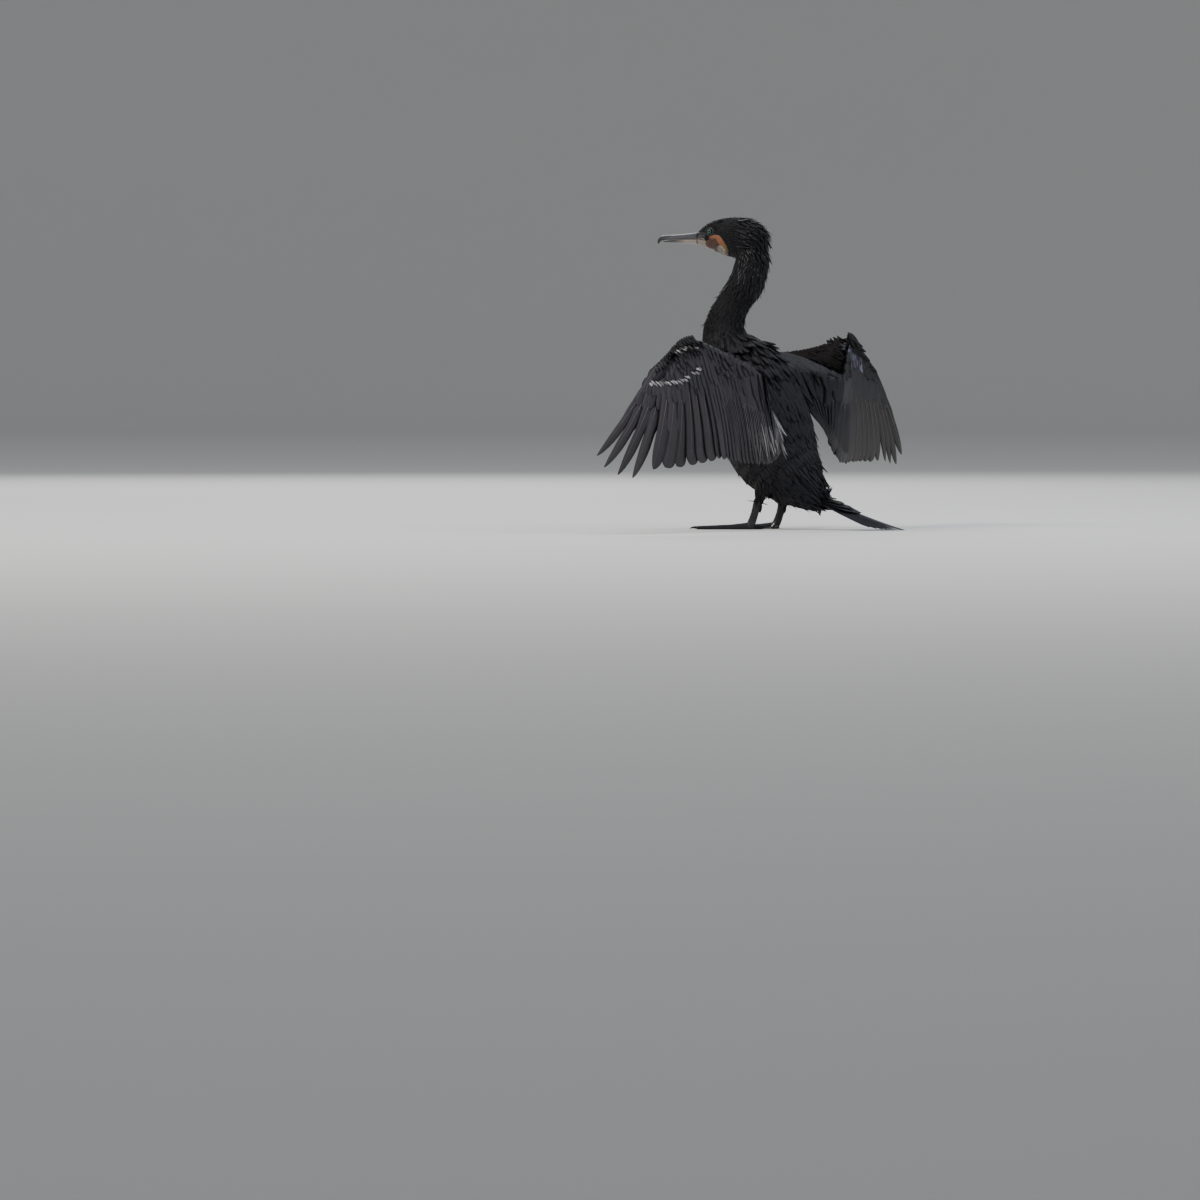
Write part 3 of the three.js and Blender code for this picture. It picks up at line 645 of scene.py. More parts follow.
flightRows = [  # part, how many, first place and the place where the next part begins
    ("hand", 10, 0, wristPlace), ("arm", 17, wristPlace, elbowPlace), ("shoulder", 7, elbowPlace, 24.7),
]
flightWidths = {"hand": (41, 21), "arm": (31, 21)}


def flightBatches(wing):
    rng = np.random.default_rng(40 + wing.side)
    feathers, shafts = [], []
    spots = [(part, a + i * ((b - a) / count)) for part, count, a, b in flightRows for i in range(count)]
    for part, f in spots:
        hand = handShare(f)
        finger = ease(f, 5, -2)  # the outer four stand apart, narrow and pointed
        if part == "hand":
            width = mix(*flightWidths["hand"], hand)
        else:
            width = mix(*flightWidths["arm"], (f - wristPlace) / (lastPlace - wristPlace))
        tipLength = 0.34 if part == "shoulder" else mix(0.1, 0.3, finger)
        shape = outline(22, 0.3, tipLength, mix(2.2, 1.5, finger))
        e, length = wing.lengths(f)
        reach = length * (1 - (0 if part == "hand" else 0.02 * rng.random()))
        notch = 1 - 0.3 * finger * ease(shape[0], 0.42, 0.16)
        look = {
            "outline": shape, "notch": notch, "leading": mix(0.85, 0.6, hand), "tilt": 8 + rng.normal(),
            "tint": linear(wing.colours[part]) * rng.uniform(0.92, 1.08),
            "thick": 0.22, "crown": 0.03, "curl": rng.normal(), "padded": False,
        }
        vane = wingFeather(wing, f, e + 0.1 * length, reach - 0.1 * length, width, look)
        feathers.append(vane)
        half, crown = [np.linspace(root, 0.3, 22)[None] for root in (1.0, 1.1)]
        shafts.append(vane | {
            "middle": vane["middle"] + vane["outward"] * (vane["crown"] - 0.15)[..., None],
            "left": half, "right": half, "crown": crown, "thick": np.full((1, 22), 0.3),
        })
    return gather(feathers, shape[0], 0.1), gather(shafts, shape[0], 0.1)


# the pale blue grey tint is a painted highlight, glints of light on the right wing's glossy coverts
paintedGlint, sootBlack = linear("#888ca3"), linear("#131317")
longCoverts = [
    # median and greater coverts: places apart, from and to along the chord, width and stacking
    (0.7, 0.06, 0.5, 24, (0.2, 0.9)), (0.68, -0.02, 0.36, 22, (0.7, 1.6)),
]


def covertBatches(wing):
    # rows of feathers from the front edge back to the greater coverts
    rng = np.random.default_rng(60 + wing.side)
    small, large, spots = [], [], []
    smallShape, largeShape = outline(8, 0.5, 0.55), outline(12, 0.4, 0.34)
    right = wing.side > 0
    plain = linear(wing.colours["coverts"])
    for row in range(-2, 12):
        x0 = -3 + row * (6.6 if row > 0 else 4.5)
        grown, edge = clamp(x0 / 40), clamp(1 - x0 / 14)
        f = 0.15 + 0.3 * (row % 2) + (4 if row < 0 and right else 0)
        while f < rootPlace - 0.1:
            e, length = wing.lengths(f)
            # two rows in front of the edge make the ragged wrist, which is larger on the right wing
            tufted = row < 0 and (4.5 if right else 1) < f < 12.5 and (row > -2 or right)
            if x0 < e + 0.1 * length and (row >= 0 or tufted):
                tint = mix(plain * rng.uniform(0.85, 1.15), sootBlack, edge * 0.9)
                if right and 5 < f < 13 and x0 > 36:
                    tint = sootBlack * 1.2
                # half of these coverts get the pale blue grey tint, a painted highlight where light glints
                # on them
                if right and 5.5 < f < 13.5 and 6 < x0 < 48 and rng.random() < 0.5:
                    tint = paintedGlint * rng.uniform(0.25, 0.95)
                loose = rng.random() < 0.2 + 0.45 * edge
                look = {
                    "outline": smallShape, "stack": (0.1, 1.5 + 0.7 * grown), "tilt": 7 + rng.normal() * 4,
                    "slant": (rng.normal() * 0.25 + 0.35) * (f > wristPlace), "tint": tint, "thick": 0.15,
                    "crown": 0.1, "curl": rng.uniform(1, 3.5) * loose * (1 + 1.6 * edge + 1.2 * tufted),
                }
                spots.append((f / rootPlace, (x0 + 15) / 130))
                length = mix(17, 27, grown) * rng.uniform(0.9, 1.15)
                small.append(wingFeather(wing, f, x0, length, mix(11, 16, grown), look))
            f += mix(0.62, 0.8, grown) * mix(1, 0.85, handShare(f))
    for step, start, reach, width, stack in longCoverts:
        f = 0.3
        while f < rootPlace - 0.3:
            hand = handShare(f)
            e, length = wing.lengths(f)
            far = (reach * mix(1, 0.84, hand) + rng.normal() * 0.008) * length
            look = {
                "outline": largeShape, "stack": stack, "tint": plain * rng.uniform(0.9, 1.12),
                "tilt": 6 + rng.normal() * 1.5, "thick": 0.2, "crown": 0.05, "curl": rng.normal() * 0.7,
                "slant": 0.2 * (f > wristPlace),
            }
            root = e + start * length
            large.append(wingFeather(wing, f, root, far - start * length, width * mix(1, 0.8, hand), look))
            f += step * mix(1, 0.8, hand)
    # the alula: three stiff feathers on the front edge of the hand
    for i in range(3):
        look = {
            "outline": largeShape, "stack": (1.5, 4 - i * 0.6), "tilt": 3, "slant": -4.3 + i * 0.6,
            "tint": sootBlack * 1.3,
        }
        large.append(wingFeather(wing, 5.4 - i * 0.6, 3 + i * 2, 44, 13, look))
    return gather(small, smallShape[0]) | {"patch": rootPatches(spots)}, gather(large, largeShape[0])


paleTint, dabsInSpot = linear("#b9b7b8"), 4
paleSpots = [
    # feather place and distance from the front edge: pale white tips and a spot on the left wing
    (1.2, 54), (2.2, 61), (3.2, 66), (4.2, 69), (5.2, 70), (6.2, 68), (7.1, 63), (8, 57), (8.8, 51),
    (5.4, 13), (6.0, 11), (6.7, 14), (7.4, 12), (8.2, 13), (9.0, 15),
]


def paleBatch(wing):
    # thin worn edges on the inner flight feathers; on the left wing also frayed pale ends and white tips
    rng = np.random.default_rng(70 + wing.side)
    shape = outline(10, 0.5, 0.6, 1.4, 0.05)
    blunt = (shape[0], np.sin(np.linspace(0.25, 2.9, 10)) ** 0.5)
    feathers = []

    def lay(f, start, length, width, tint, stack, **more):
        look = {"outline": shape, "stack": (stack, stack + 0.5), "tint": tint, "thick": 0.15, "crown": 0.1}
        feathers.append(wingFeather(wing, f, start, length, width, look | {"padded": False} | more))

    for f in np.arange(13, 25, 0.33):
        e, length = wing.lengths(f)
        worn = ease(f, 14, 8)
        tint = linear(wing.colours["worn"]) * rng.uniform(0.7, 1.2)
        start = e + (0.34 - 0.1 * worn) * length
        lay(f, start, 0.56 * length, mix(1.8, 3.6, worn) * rng.uniform(0.7, 1.2), tint, 2.0)
    if wing.side > 0:
        return gather(feathers, shape[0])
    for f in np.arange(16.5, 25, 0.2):
        e, length = wing.lengths(f)
        reach = rng.uniform(24, 58)
        tint = paleTint * mix(0.15, rng.uniform(0.25, 0.75), ease(f, 16, 5))
        start = e + length * rng.uniform(0.86, 1.0) - reach
        width = rng.uniform(2.2, 4.6)
        lay(f, start, reach, width, tint, 2.4, curl=rng.uniform(-1, 3), slant=rng.normal() * 0.4)
    for f, x in paleSpots:
        for _ in range(dabsInSpot):
            size = rng.uniform(2.5, 5.5)
            tint = paleTint * rng.uniform(0.3, 0.95)
            number = f + rng.uniform(-0.5, 0.5)
            start = x - size * 0.5 + rng.normal() * 0.5
            width = rng.uniform(8, 16)
            lay(number, start, size, width, tint, 2.4, curl=rng.uniform(0, 0.6), padded=True, outline=blunt)
    return gather(feathers, shape[0])


scapularRows = [  # how many, distance from the front edge, length and stacking
    (13, 18, 112, 2.5), (12, 10, 90, 3.5), (12, 4, 68, 4.5), (11, 0, 46, 5.5),
]


def scapularBatch(wing):
    # long loose feathers that droop from the shoulder over the inner wing
    rng = np.random.default_rng(80 + wing.side)
    shape = outline(14, 0.35, 0.5, 1.6, 0.06)
    plain = linear(wing.colours["scapulars"])
    feathers = []
    for row, (count, start, length, stack) in enumerate(scapularRows):
        for i in range(count):
            f = rootPlace - 0.05 - i * 0.44 - 0.2 * (row % 2)
            far = length * mix(1, 0.72, i / count) * rng.uniform(0.88, 1.1)
            look = {
                "outline": shape, "stack": (stack * 0.5, stack + rng.uniform(-1, 2)),
                "tilt": 6 + rng.normal() * 6, "tint": plain * rng.uniform(0.8, 1.3), "thick": 0.2,
                "crown": 0.08, "curl": rng.uniform(-1, 4), "slant": rng.normal() * 0.3 - 0.3,
            }
            feathers.append(wingFeather(wing, f, start, far, rng.uniform(12, 17), look))
    return gather(feathers, shape[0])


def underBatch(wing):
    # seven rows of under coverts on the breast side, longer and wider towards the rear
    rng = np.random.default_rng(90 + wing.side)
    shape = outline(10, 0.4, 0.4)
    feathers = []
    for row in range(7):
        f, x0 = 0.3 + 0.3 * (row % 2), -1 + row * 13.0
        while f < rootPlace - 0.2:
            e, length = wing.lengths(f)
            if x0 < e + 0.16 * length:
                look = {
                    "outline": shape, "stack": (0.2, 2.2), "tilt": 7 + rng.normal() * 3, "face": -1,
                    "tint": linear("#36343a") * rng.uniform(0.85, 1.15), "thick": 0.18,
                }
                feathers.append(wingFeather(wing, f, x0, mix(26, 48, row / 6), mix(15, 24, row / 6), look))
            f += mix(0.75, 0.95, row / 6)
    return gather(feathers, shape[0])


def wingCore(wing):
    # the arm and hand below the feathers
    rings = []
    for f in np.linspace(0, rootPlace, 48):
        e, length = wing.lengths(f)
        away = wing.away(f, 0)
        nose = wing.front(f) + unit(wing.front(f) - wing.bone(f)) * wing.girth(f) * 0.3
        upper, lower = [], []
        for x in [0, e * 0.5, e, e + 0.07 * length, e + 0.14 * length, e + 0.3 * length]:
            spot, _ = wing.chord(f, x)
            half = max(wing.padding(f, x), 0.8)
            upper.append(spot + away * half)
            lower.append(spot - away * half)
        rings.append([nose, *upper, *lower[::-1]])
    rings.append([p + np.array((-4, -22 * wing.side, 0)) for p in rings[-1]])
    return np.array(rings)


def dressWing(wingName):
    wing = WingSurface(wingPlans[wingName])
    node = "wing_" + wingName
    flights, shafts = flightBatches(wing)
    small, large = covertBatches(wing)
    for part, batch, columns, material in [
        ("_flights", flights, 5, flightFeather), ("_shafts", shafts, 3, quillHorn),
        ("_coverts", large, 5, covertFeather), ("_small_coverts", small, 3, scalyFeather),
        ("_worn_edges", paleBatch(wing), 3, bodyFeather),
        ("_scapulars", scapularBatch(wing), 5, scapularFeather),
        ("_underside", underBatch(wing), 5, scalyFeather),
    ]:
        addFeathers(node + part, batch, columns, material, [node])
    arm = loftMesh(node + "_arm", wingCore(wing))
    paint(arm, layered(len(arm.vertices), "#1c1b1f"))
    carry(addPiece(node + "_arm", arm), downyHide, [node])
    print(node, "done")


# Body, neck and head
# The trunk's middle line from the back of the head to the tail: x, z, half depth and half width
trunk = [
    (-22, 447, 26, 23), (-25, 424, 28, 25), (-34, 394, 29, 26), (-55, 364, 28, 26), (-69, 337, 31, 28),
    (-73, 314, 37, 34), (-67, 291, 47, 46), (-53, 264, 64, 62), (-31, 224, 76, 72), (-6, 174, 77, 74),
    (20, 122, 71, 69), (52, 84, 53, 55), (80, 58, 32, 38), (100, 43, 17, 25),
]
trunkPath = [np.array((x, 0.0, z)) for x, z, _, _ in trunk]
trunkLine = np.array([curvePoint(trunkPath, t) for t in np.linspace(0, 1, 160)])
trunkAlong = unit(np.gradient(trunkLine, axis=0))
headTurn = math.radians(14)
headAxis = np.array((-24.0, 0.0, 0.0))  # the upright line that the head turns about
headForward = np.array((-math.cos(headTurn), -math.sin(headTurn), 0.0))
headLeft = np.cross((0, 0, 1), headForward)
billBase, billLength = 88.5, 65.5
eyeForward, eyeHeight, eyeRadius = 66.0, 475.4, 5.0
headSections = [  # distance forward, top, bottom and half width
    (-26, 470, 449, 9), (-20, 481, 438, 17), (-8, 490, 431, 22), (8, 497, 432, 23.5), (26, 499, 434, 23.5),
    (44, 498, 437, 21.5), (58, 495, 443, 18), (70, 491, 448, 14.5), (80, 484, 451.5, 11.5),
    (88.5, 475.5, 454.8, 8.8),
]
thighStops = [  # x, share of the leg's y, z and radius
    (28, 0.7, 132, 33), (27, 0.88, 98, 29), (18, 1, 67, 17), (12, 0.98, 51, 9.8), (10, 0.98, 40, 8.0),
]
legY = 45
skinPlan = {
    "nodes": ["head", "neck_upper", "neck_lower", "torso", "thigh_left", "thigh_right"],
    "voxel": 1.95, "smooth": 4, "headDepth": 1.2, "neckDepth": 2.4, "bodyDepth": 4.0,
}


def headFrame(points):
    # how far forward, out to the side and high each point is in the head's own frame
    fromAxis = points - headAxis
    return fromAxis @ headForward, fromAxis @ headLeft, points[:, 2]


def nearestOnTrunk(points):
    # the number of the nearest place of the trunk's middle line, found part by part to save memory
    parts = [points[start : start + 4000] for start in range(0, len(points), 4000)]
    index = [((part[:, None] - trunkLine[None]) ** 2).sum(2).argmin(1) for part in parts]
    return np.concatenate(index)


def ringPoints(centre, side, rise, halfSide, halfRise, count, power):
    angle = np.arange(count) / count * 2 * math.pi
    c, s = np.cos(angle), np.sin(angle)
    out = np.sign(c) * np.abs(c) ** (2 / power) * halfSide
    high = np.sign(s) * np.abs(s) ** (2 / power) * halfRise
    return centre + np.outer(out, side) + np.outer(high, rise)


def trunkRings():
    sizes = [np.array((deep, wide, 0.0)) for _, _, deep, wide in trunk]
    rings = []
    for t in np.linspace(0, 1, 90):
        i = int(round(t * (len(trunkLine) - 1)))
        deep, wide, _ = curvePoint(sizes, t)
        rise = np.cross(trunkAlong[i], (0, 1, 0))
        rings.append(ringPoints(trunkLine[i], (0, 1, 0), rise, wide, deep, 64, 2.15))
    return np.array(rings)


def headRings():
    path = [np.array((f, top, bottom), float) for f, top, bottom, _ in headSections]
    widths = [np.array((wide, 0, 0), float) for *_, wide in headSections]
    rings = []
    for t in np.linspace(0, 1, 60):
        f, top, bottom = curvePoint(path, t)
        wide = curvePoint(widths, t)[0]
        centre = headAxis + np.array((0, 0, (top + bottom) / 2)) + headForward * f
        rings.append(ringPoints(centre, headLeft, (0, 0, 1), wide, (top - bottom) / 2, 48, 2.2))
    return np.array(rings)


def thighRings(side):
    path = [np.array((x, side * legY * y, z)) for x, y, z, _ in thighStops]
    radii = [np.array((r, 0, 0), float) for *_, r in thighStops]
    rings = []
    for t in np.linspace(0, 1, 30):
        along = unit(curvePoint(path, t + 0.01) - curvePoint(path, t - 0.01))
        across = unit(np.cross(along, (1, 0, 0)))
        r = curvePoint(radii, t)[0]
        rings.append(ringPoints(curvePoint(path, t), across, np.cross(across, along), r * 0.85, r, 32, 2))
    return np.array(rings)


facePlan = {
    # places are distance forward along the head and height; an oval has a middle and two half sizes
    "pouch": ((62, 456.3), (11.5, 8.4)), "white": ((47.5, 447), (10.5, 8.6)),
    "gapeLine": [(88.5, 464.2), (80.5, 463.0), (72, 461.5), (66.5, 465.5)],
    "orangeLine": [(67, 465.5), (58, 467.4), (51, 464.5), (45.5, 459), (40, 452), (37, 444)],
    "orangeWide": [(34, 2.8), (39, 3.8), (46, 5.6), (51, 5.6), (58, 3.2), (67, 1.6)],
}


def distanceTo(name, f, z):
    # distance from a line of places in the head's side view, in mm
    line = facePlan[name]
    best = np.full(len(f), 1e6)
    for (f0, z0), (f1, z1) in zip(line, line[1:]):
        df, dz = f1 - f0, z1 - z0
        t = np.clip(((f - f0) * df + (z - z0) * dz) / (df * df + dz * dz), 0, 1)
        best = np.minimum(best, np.hypot(f - f0 - t * df, z - z0 - t * dz))
    return best


def oval(name, f, z):
    (f0, z0), (rf, rz) = facePlan[name]
    return np.hypot((f - f0) / rf, (z - z0) / rz)


def bareShares(points):
    # how far each zone of bare skin reaches, from 0 to 1
    f, out, z = headFrame(points)
    wide = np.interp(f, *zip(*facePlan["orangeWide"]))
    orange = ease(distanceTo("orangeLine", f, z), wide + 1.0, -2.4)
    pouch = ease(oval("pouch", f, z), 1.06, -0.14)
    ramus = ease(f, 56, 5) * ease(z, mix(451, 466, ease(f, 62, 16)), -1.6)
    lore = ease(f, 72, 3) * ease(z, 476, -3) * ease(z, 464, 2)
    eyeRing = ease(np.hypot(f - eyeForward, z - eyeHeight), 8.2, -1.2) * (np.abs(out) > 7)
    front = ease(f, 30, 4) * ease(z, 436, 4)
    return [zone * front for zone in (orange, pouch, ramus, lore, eyeRing)]


def bareShare(points):
    return np.maximum.reduce(bareShares(points))


def onBody(z):
    # 0 on the neck and 1 on the body
    return ease(z, 345, -60)


def coatDepth(points):
    # how far the skin lies below the bird's outline, to leave room for the feathers
    f, out, z = headFrame(points)
    depth = mix(skinPlan["neckDepth"], skinPlan["bodyDepth"], ease(z, 330, -50))
    depth = mix(depth, skinPlan["headDepth"], ease(z, 425, 20) * ease(f, -18, 20))
    return depth * (1 - bareShare(points))


def faceRelief(points):
    # heights over the skin in mm
    f, out, z = headFrame(points)
    ring = np.hypot(f - eyeForward, (z - eyeHeight) * 1.08)
    gape = distanceTo("gapeLine", f, z)
    folds = -3.4 * ease(ring, 4.6, -1.0)  # the eye's hollow
    folds += 1.3 * ridge(ring, 5.7, 0.75) + 0.35 * ridge(ring, 7.6, 0.6)  # lids
    folds += 0.8 * ridge(z, 483.5, 2.6) * ridge(f, 66, 9)  # brow
    folds -= 0.7 * ridge(z, 470.5, 2.4) * ease(f, 72, 4)  # lore
    folds += 0.55 * ridge(gape, 1.7, 0.8) - 1.3 * ridge(gape, 0, 0.75)  # gape and its lips
    folds += 0.5 * ridge(distanceTo("orangeLine", f, z), 0, 2.4)  # the orange cheek
    pouch = 0.7 * ease(oval("pouch", f, z), 1.1, -0.4) * (1 + 0.5 * np.sin(f * 1.9 + z * 0.9))
    return folds * ease(np.abs(out), 6, 3) + pouch


def bareColour(points):
    f, out, z = headFrame(points)
    orange, pouch, ramus, lore, eyeRing = bareShares(points)
    cheek = mix(linear("#8b5836"), linear("#75602f"), ease(z, 458, -10)[:, None])
    rim = ease(np.hypot(f - eyeForward, z - eyeHeight), 6.6, -1.0) * (np.abs(out) > 7)
    gape = 0.8 * ridge(distanceTo("gapeLine", f, z), 0, 0.6) * (np.abs(out) > 5)
    return layered(len(points), "#3a3632", [
        (lore, "#25272c"), (ramus, "#8b8279"), (orange, cheek), (pouch, "#4d3327"),
        (eyeRing * 0.9, "#25292e"), (rim, "#20262c"), (gape, "#2c1a14"),
    ])


def plumageColour(points, normals):
    # the markings that skin and coat share
    f, out, z = headFrame(points)
    belly, breast, back = [linear(c) for c in ("#19191e", "#17181d", "#1e1d22")]
    under = mix(belly, breast, ease(z, 150, 80)[:, None])
    trunkColour = mix(back, under, ease(normals[:, 0] * -1.2, -0.5, 1)[:, None])
    rump = ease(z, 110, -40) * ease(points[:, 0], 20, 30)
    white = ease(oval("white", f, z), 1.05, -0.25) * ease(f, 30, 4)
    chin = ease(f, 48, 6) * ease(z, 448, -5) * ease(z, 438, 3) * 0.7
    return layered(len(points), "#16171b", [
        (ease(z, 462, 14), "#131417"), (onBody(z), trunkColour), (rump, "#191a20"), (white, "#978e86"),
        (chin, "#7d7468"),
    ])


def refineFace(mesh):
    # finer faces on the front of the head, for lids and folds
    bm = bmesh.new()
    bm.from_mesh(mesh)
    chosen = []
    for face in bm.faces:
        p = toBird(face.calc_center_median())
        if p[2] > 440 and (p - headAxis) @ headForward > 34:
            chosen.append(face)
    edges = list({edge for face in chosen for edge in face.edges})
    bmesh.ops.subdivide_edges(bm, edges=edges, cuts=2, use_grid_fill=True)
    bmesh.ops.triangulate(bm, faces=[f for f in bm.faces if len(f.verts) > 4])
    bm.to_mesh(mesh)
    bm.free()


def makeSkin():
    # one skin for the head, neck, body and thighs
    lofts = [trunkRings(), headRings(), thighRings(-1), thighRings(1)]
    parts = [addPiece("skin", loftMesh("skin", rings)) for rings in lofts]
    select(*parts)
    bpy.ops.object.join()
    skin = bpy.context.object
    smoothShell(skin, skinPlan["voxel"], skinPlan["smooth"])
    mesh = skin.data
    refineFace(mesh)
    points, normals = meshShape(mesh)
    points += normals * (faceRelief(points) - coatDepth(points))[:, None]
    setPoints(mesh, place(points))
    points, normals = meshShape(mesh)
    bare = bareShare(points)[:, None]
    paint(mesh, mix(plumageColour(points, normals) * 0.8, bareColour(points), bare))
    mesh.shade_smooth()
    carry(skin, facialSkin, skinPlan["nodes"])
    print("skin", len(mesh.polygons), "faces")
    return mesh


noRoots = 1000.0  # a spacing so wide that nothing grows there


def poissonRoots(mesh, spacing, seed):
    # places spread evenly over the mesh, as far apart as spacing says at each
    rng = np.random.default_rng(seed)
    mesh.calc_loop_triangles()
    triangles = readRows(mesh.loop_triangles, "vertices", np.int32)
    points, normals = meshShape(mesh)
    corners = points[triangles]
    edges = corners[:, 1:] - corners[:, :1]
    area = np.linalg.norm(np.cross(edges[:, 0], edges[:, 1]), axis=1) / 2
    gaps = spacing(corners.mean(1))
    dense = area / gaps**2 * 4.0  # four tries for each place
    dense[gaps > 100] = 0
    chosen = rng.choice(len(triangles), int(dense.sum()), p=dense / dense.sum())
    a, b = rng.random(len(chosen)), rng.random(len(chosen))
    over = a + b > 1
    a[over], b[over] = 1 - a[over], 1 - b[over]
    weights = np.stack([1 - a - b, a, b], 1)[..., None]
    spots = (corners[chosen] * weights).sum(1)
    outward = unit((normals[triangles[chosen]] * weights).sum(1))
    # a try is kept when no kept one is too near; a grid of 8 mm cells holds the kept ones
    limits = (spacing(spots) ** 2).tolist()
    cells = np.floor(spots / 8.0).astype(int).tolist()
    around = [(x, y, z) for x in (-1, 0, 1) for y in (-1, 0, 1) for z in (-1, 0, 1)]
    grid, kept = {}, []
    for i, (px, py, pz) in enumerate(spots.tolist()):
        kx, ky, kz = cells[i]
        near = (q for dx, dy, dz in around for q in grid.get((kx + dx, ky + dy, kz + dz), ()))
        if all((px - qx) ** 2 + (py - qy) ** 2 + (pz - qz) ** 2 >= limits[i] for qx, qy, qz in near):
            grid.setdefault((kx, ky, kz), []).append((px, py, pz))
            kept.append(i)
    return spots[kept], outward[kept]


def coatFlow(points, normals):
    # the lie of the feathers: back over the head, down the neck and body to the tail
    f, out, z = headFrame(points)
    along = trunkAlong[nearestOnTrunk(points)]
    back = -headForward[None] + np.array((0, 0, -0.25)) + headLeft[None] * (out / 60)[:, None]
    back = unit(mix(back, np.array((0.25, 0, -1.0)), ease(f, 14, -34)[:, None]))
    throat = (ease(z, 452, -10) * ease(f, 20, 20))[:, None]
    back = unit(mix(back, -headForward * 0.9 + np.array((0, 0, -0.5)), throat))
    flow = mix(along, back, ease(z, 428, 26)[:, None])
    thigh = ease(z, 100, -40) * ease(points[:, 0], 50, -16) * ease(np.abs(points[:, 1]), 14, 12)
    flow = mix(flow, np.array((-0.12, 0, -1.0)), thigh[:, None])
    return unit(flow - normals * (flow * normals).sum(1)[:, None])


def coatSpacing(points):
    f, out, z = headFrame(points)
    gaps = mix(mix(2.0, 3.2, onBody(z)), mix(1.45, 1.9, ease(f, 20, -30)), ease(z, 430, 14))
    gaps[(bareShare(points) > 0.5) | ((z < 42) & (points[:, 0] < 40))] = noRoots
    return gaps


def skinPlace(points):
    # the root's place on the skin, unrolled round the trunk's line, and round the head's in its own share
    index = nearestOnTrunk(points)
    off = points - trunkLine[index]
    rise = np.cross(trunkAlong[index], (0, 1, 0))
    f, out, z = headFrame(points)
    onHead = (z > 440) & (f > -10)
    angle = np.where(onHead, np.arctan2(out, z - 466), np.arctan2(off[:, 1], (off * rise).sum(1)))
    v = np.where(onHead, (100 - f) / 115 * 0.22, 0.24 + index / (len(trunkLine) - 1) * 0.74)
    return np.stack([angle / (2 * math.pi) + 0.5, v], 1)


coatSizes = [  # on the head, neck and body
    (7.0, 10.5, 18),  # length
    (2.7, 3.8, 7.4),  # width
    (0.75, 1.4, 1.7),  # how far the tips stand off
]
coatOutlines = {
    # shares along the feather and its half width there
    "small": ((0.0, 0.34, 0.72, 1.0), (0.5, 1.0, 0.8, 0.1)),
    "mantle": ((0, 0.25, 0.55, 0.8, 0.93, 1.0), (0.5, 0.95, 1.0, 0.8, 0.5, 0.12)),
    "tuft": ((0, 0.25, 0.55, 0.8, 0.93, 1.0), (0.6, 1.0, 0.8, 0.5, 0.3, 0.08)),
}


def coatBatch(points, normals, seed, sizes, shape="small", loose=0.0):
    # feathers on the skin that follow its roundness; the loose ones curl up at their tips
    rng = np.random.default_rng(seed)
    count = len(points)
    length, width, stand = [size * rng.uniform(0.85, 1.18, count) for size in sizes]
    flow = coatFlow(points, normals)
    across = unit(np.cross(normals, flow))
    flow = unit(flow + across * rng.normal(0, 0.1, count)[:, None])
    across = unit(np.cross(normals, flow))
    shares, widths = np.array(coatOutlines[shape])
    roundness = mix(45, 300, onBody(points[:, 2]))
    rise = 0.2 + stand[:, None] * shares**1.3 - (length**2 / 3 / roundness)[:, None] * shares**2
    rise += (rng.random(count) < loose)[:, None] * rng.uniform(1, 5, count)[:, None] * shares**2.5
    reach = length[:, None] * shares
    half = (width / 2)[:, None] * widths
    return {
        "middle": points[:, None] + flow[:, None] * reach[..., None] + normals[:, None] * rise[..., None],
        "across": np.repeat(across[:, None], len(shares), 1),
        "outward": np.repeat(normals[:, None], len(shares), 1),
        "left": half, "right": half, "crown": half * 0.3,
        "tint": plumageColour(points, normals), "patch": rootPatches(skinPlace(points)), "share": shares,
    }


def patchBatch(mesh, patch):
    # feathers of one size where the patch says: between two heights, where its test holds
    low, high = patch["heights"]
    rootSeed, seed = patch["seeds"]
    spots, facing = poissonRoots(
        mesh, lambda p: np.where((p[:, 2] > low) & (p[:, 2] < high), patch["gap"], noRoots), rootSeed,
    )
    held = patch["where"](spots, facing, headFrame(spots)[0])
    spots, facing = spots[held], facing[held]
    loose = patch["loose"]
    behindNeck = (spots[:, 2] > 283) & (spots[:, 2] < 325)
    loose = np.where(behindNeck, patch.get("raised", loose), loose)
    return coatBatch(spots, facing, seed, patch["size"], patch["shape"], loose)


def onMantle(points, normals):
    # the upper back and shoulders, where the feathers are large and scaly
    return ease(normals[:, 0] * 2.2, -0.3, 1) * ease(points[:, 2], 135, 40) * ease(points[:, 2], 335, -25)


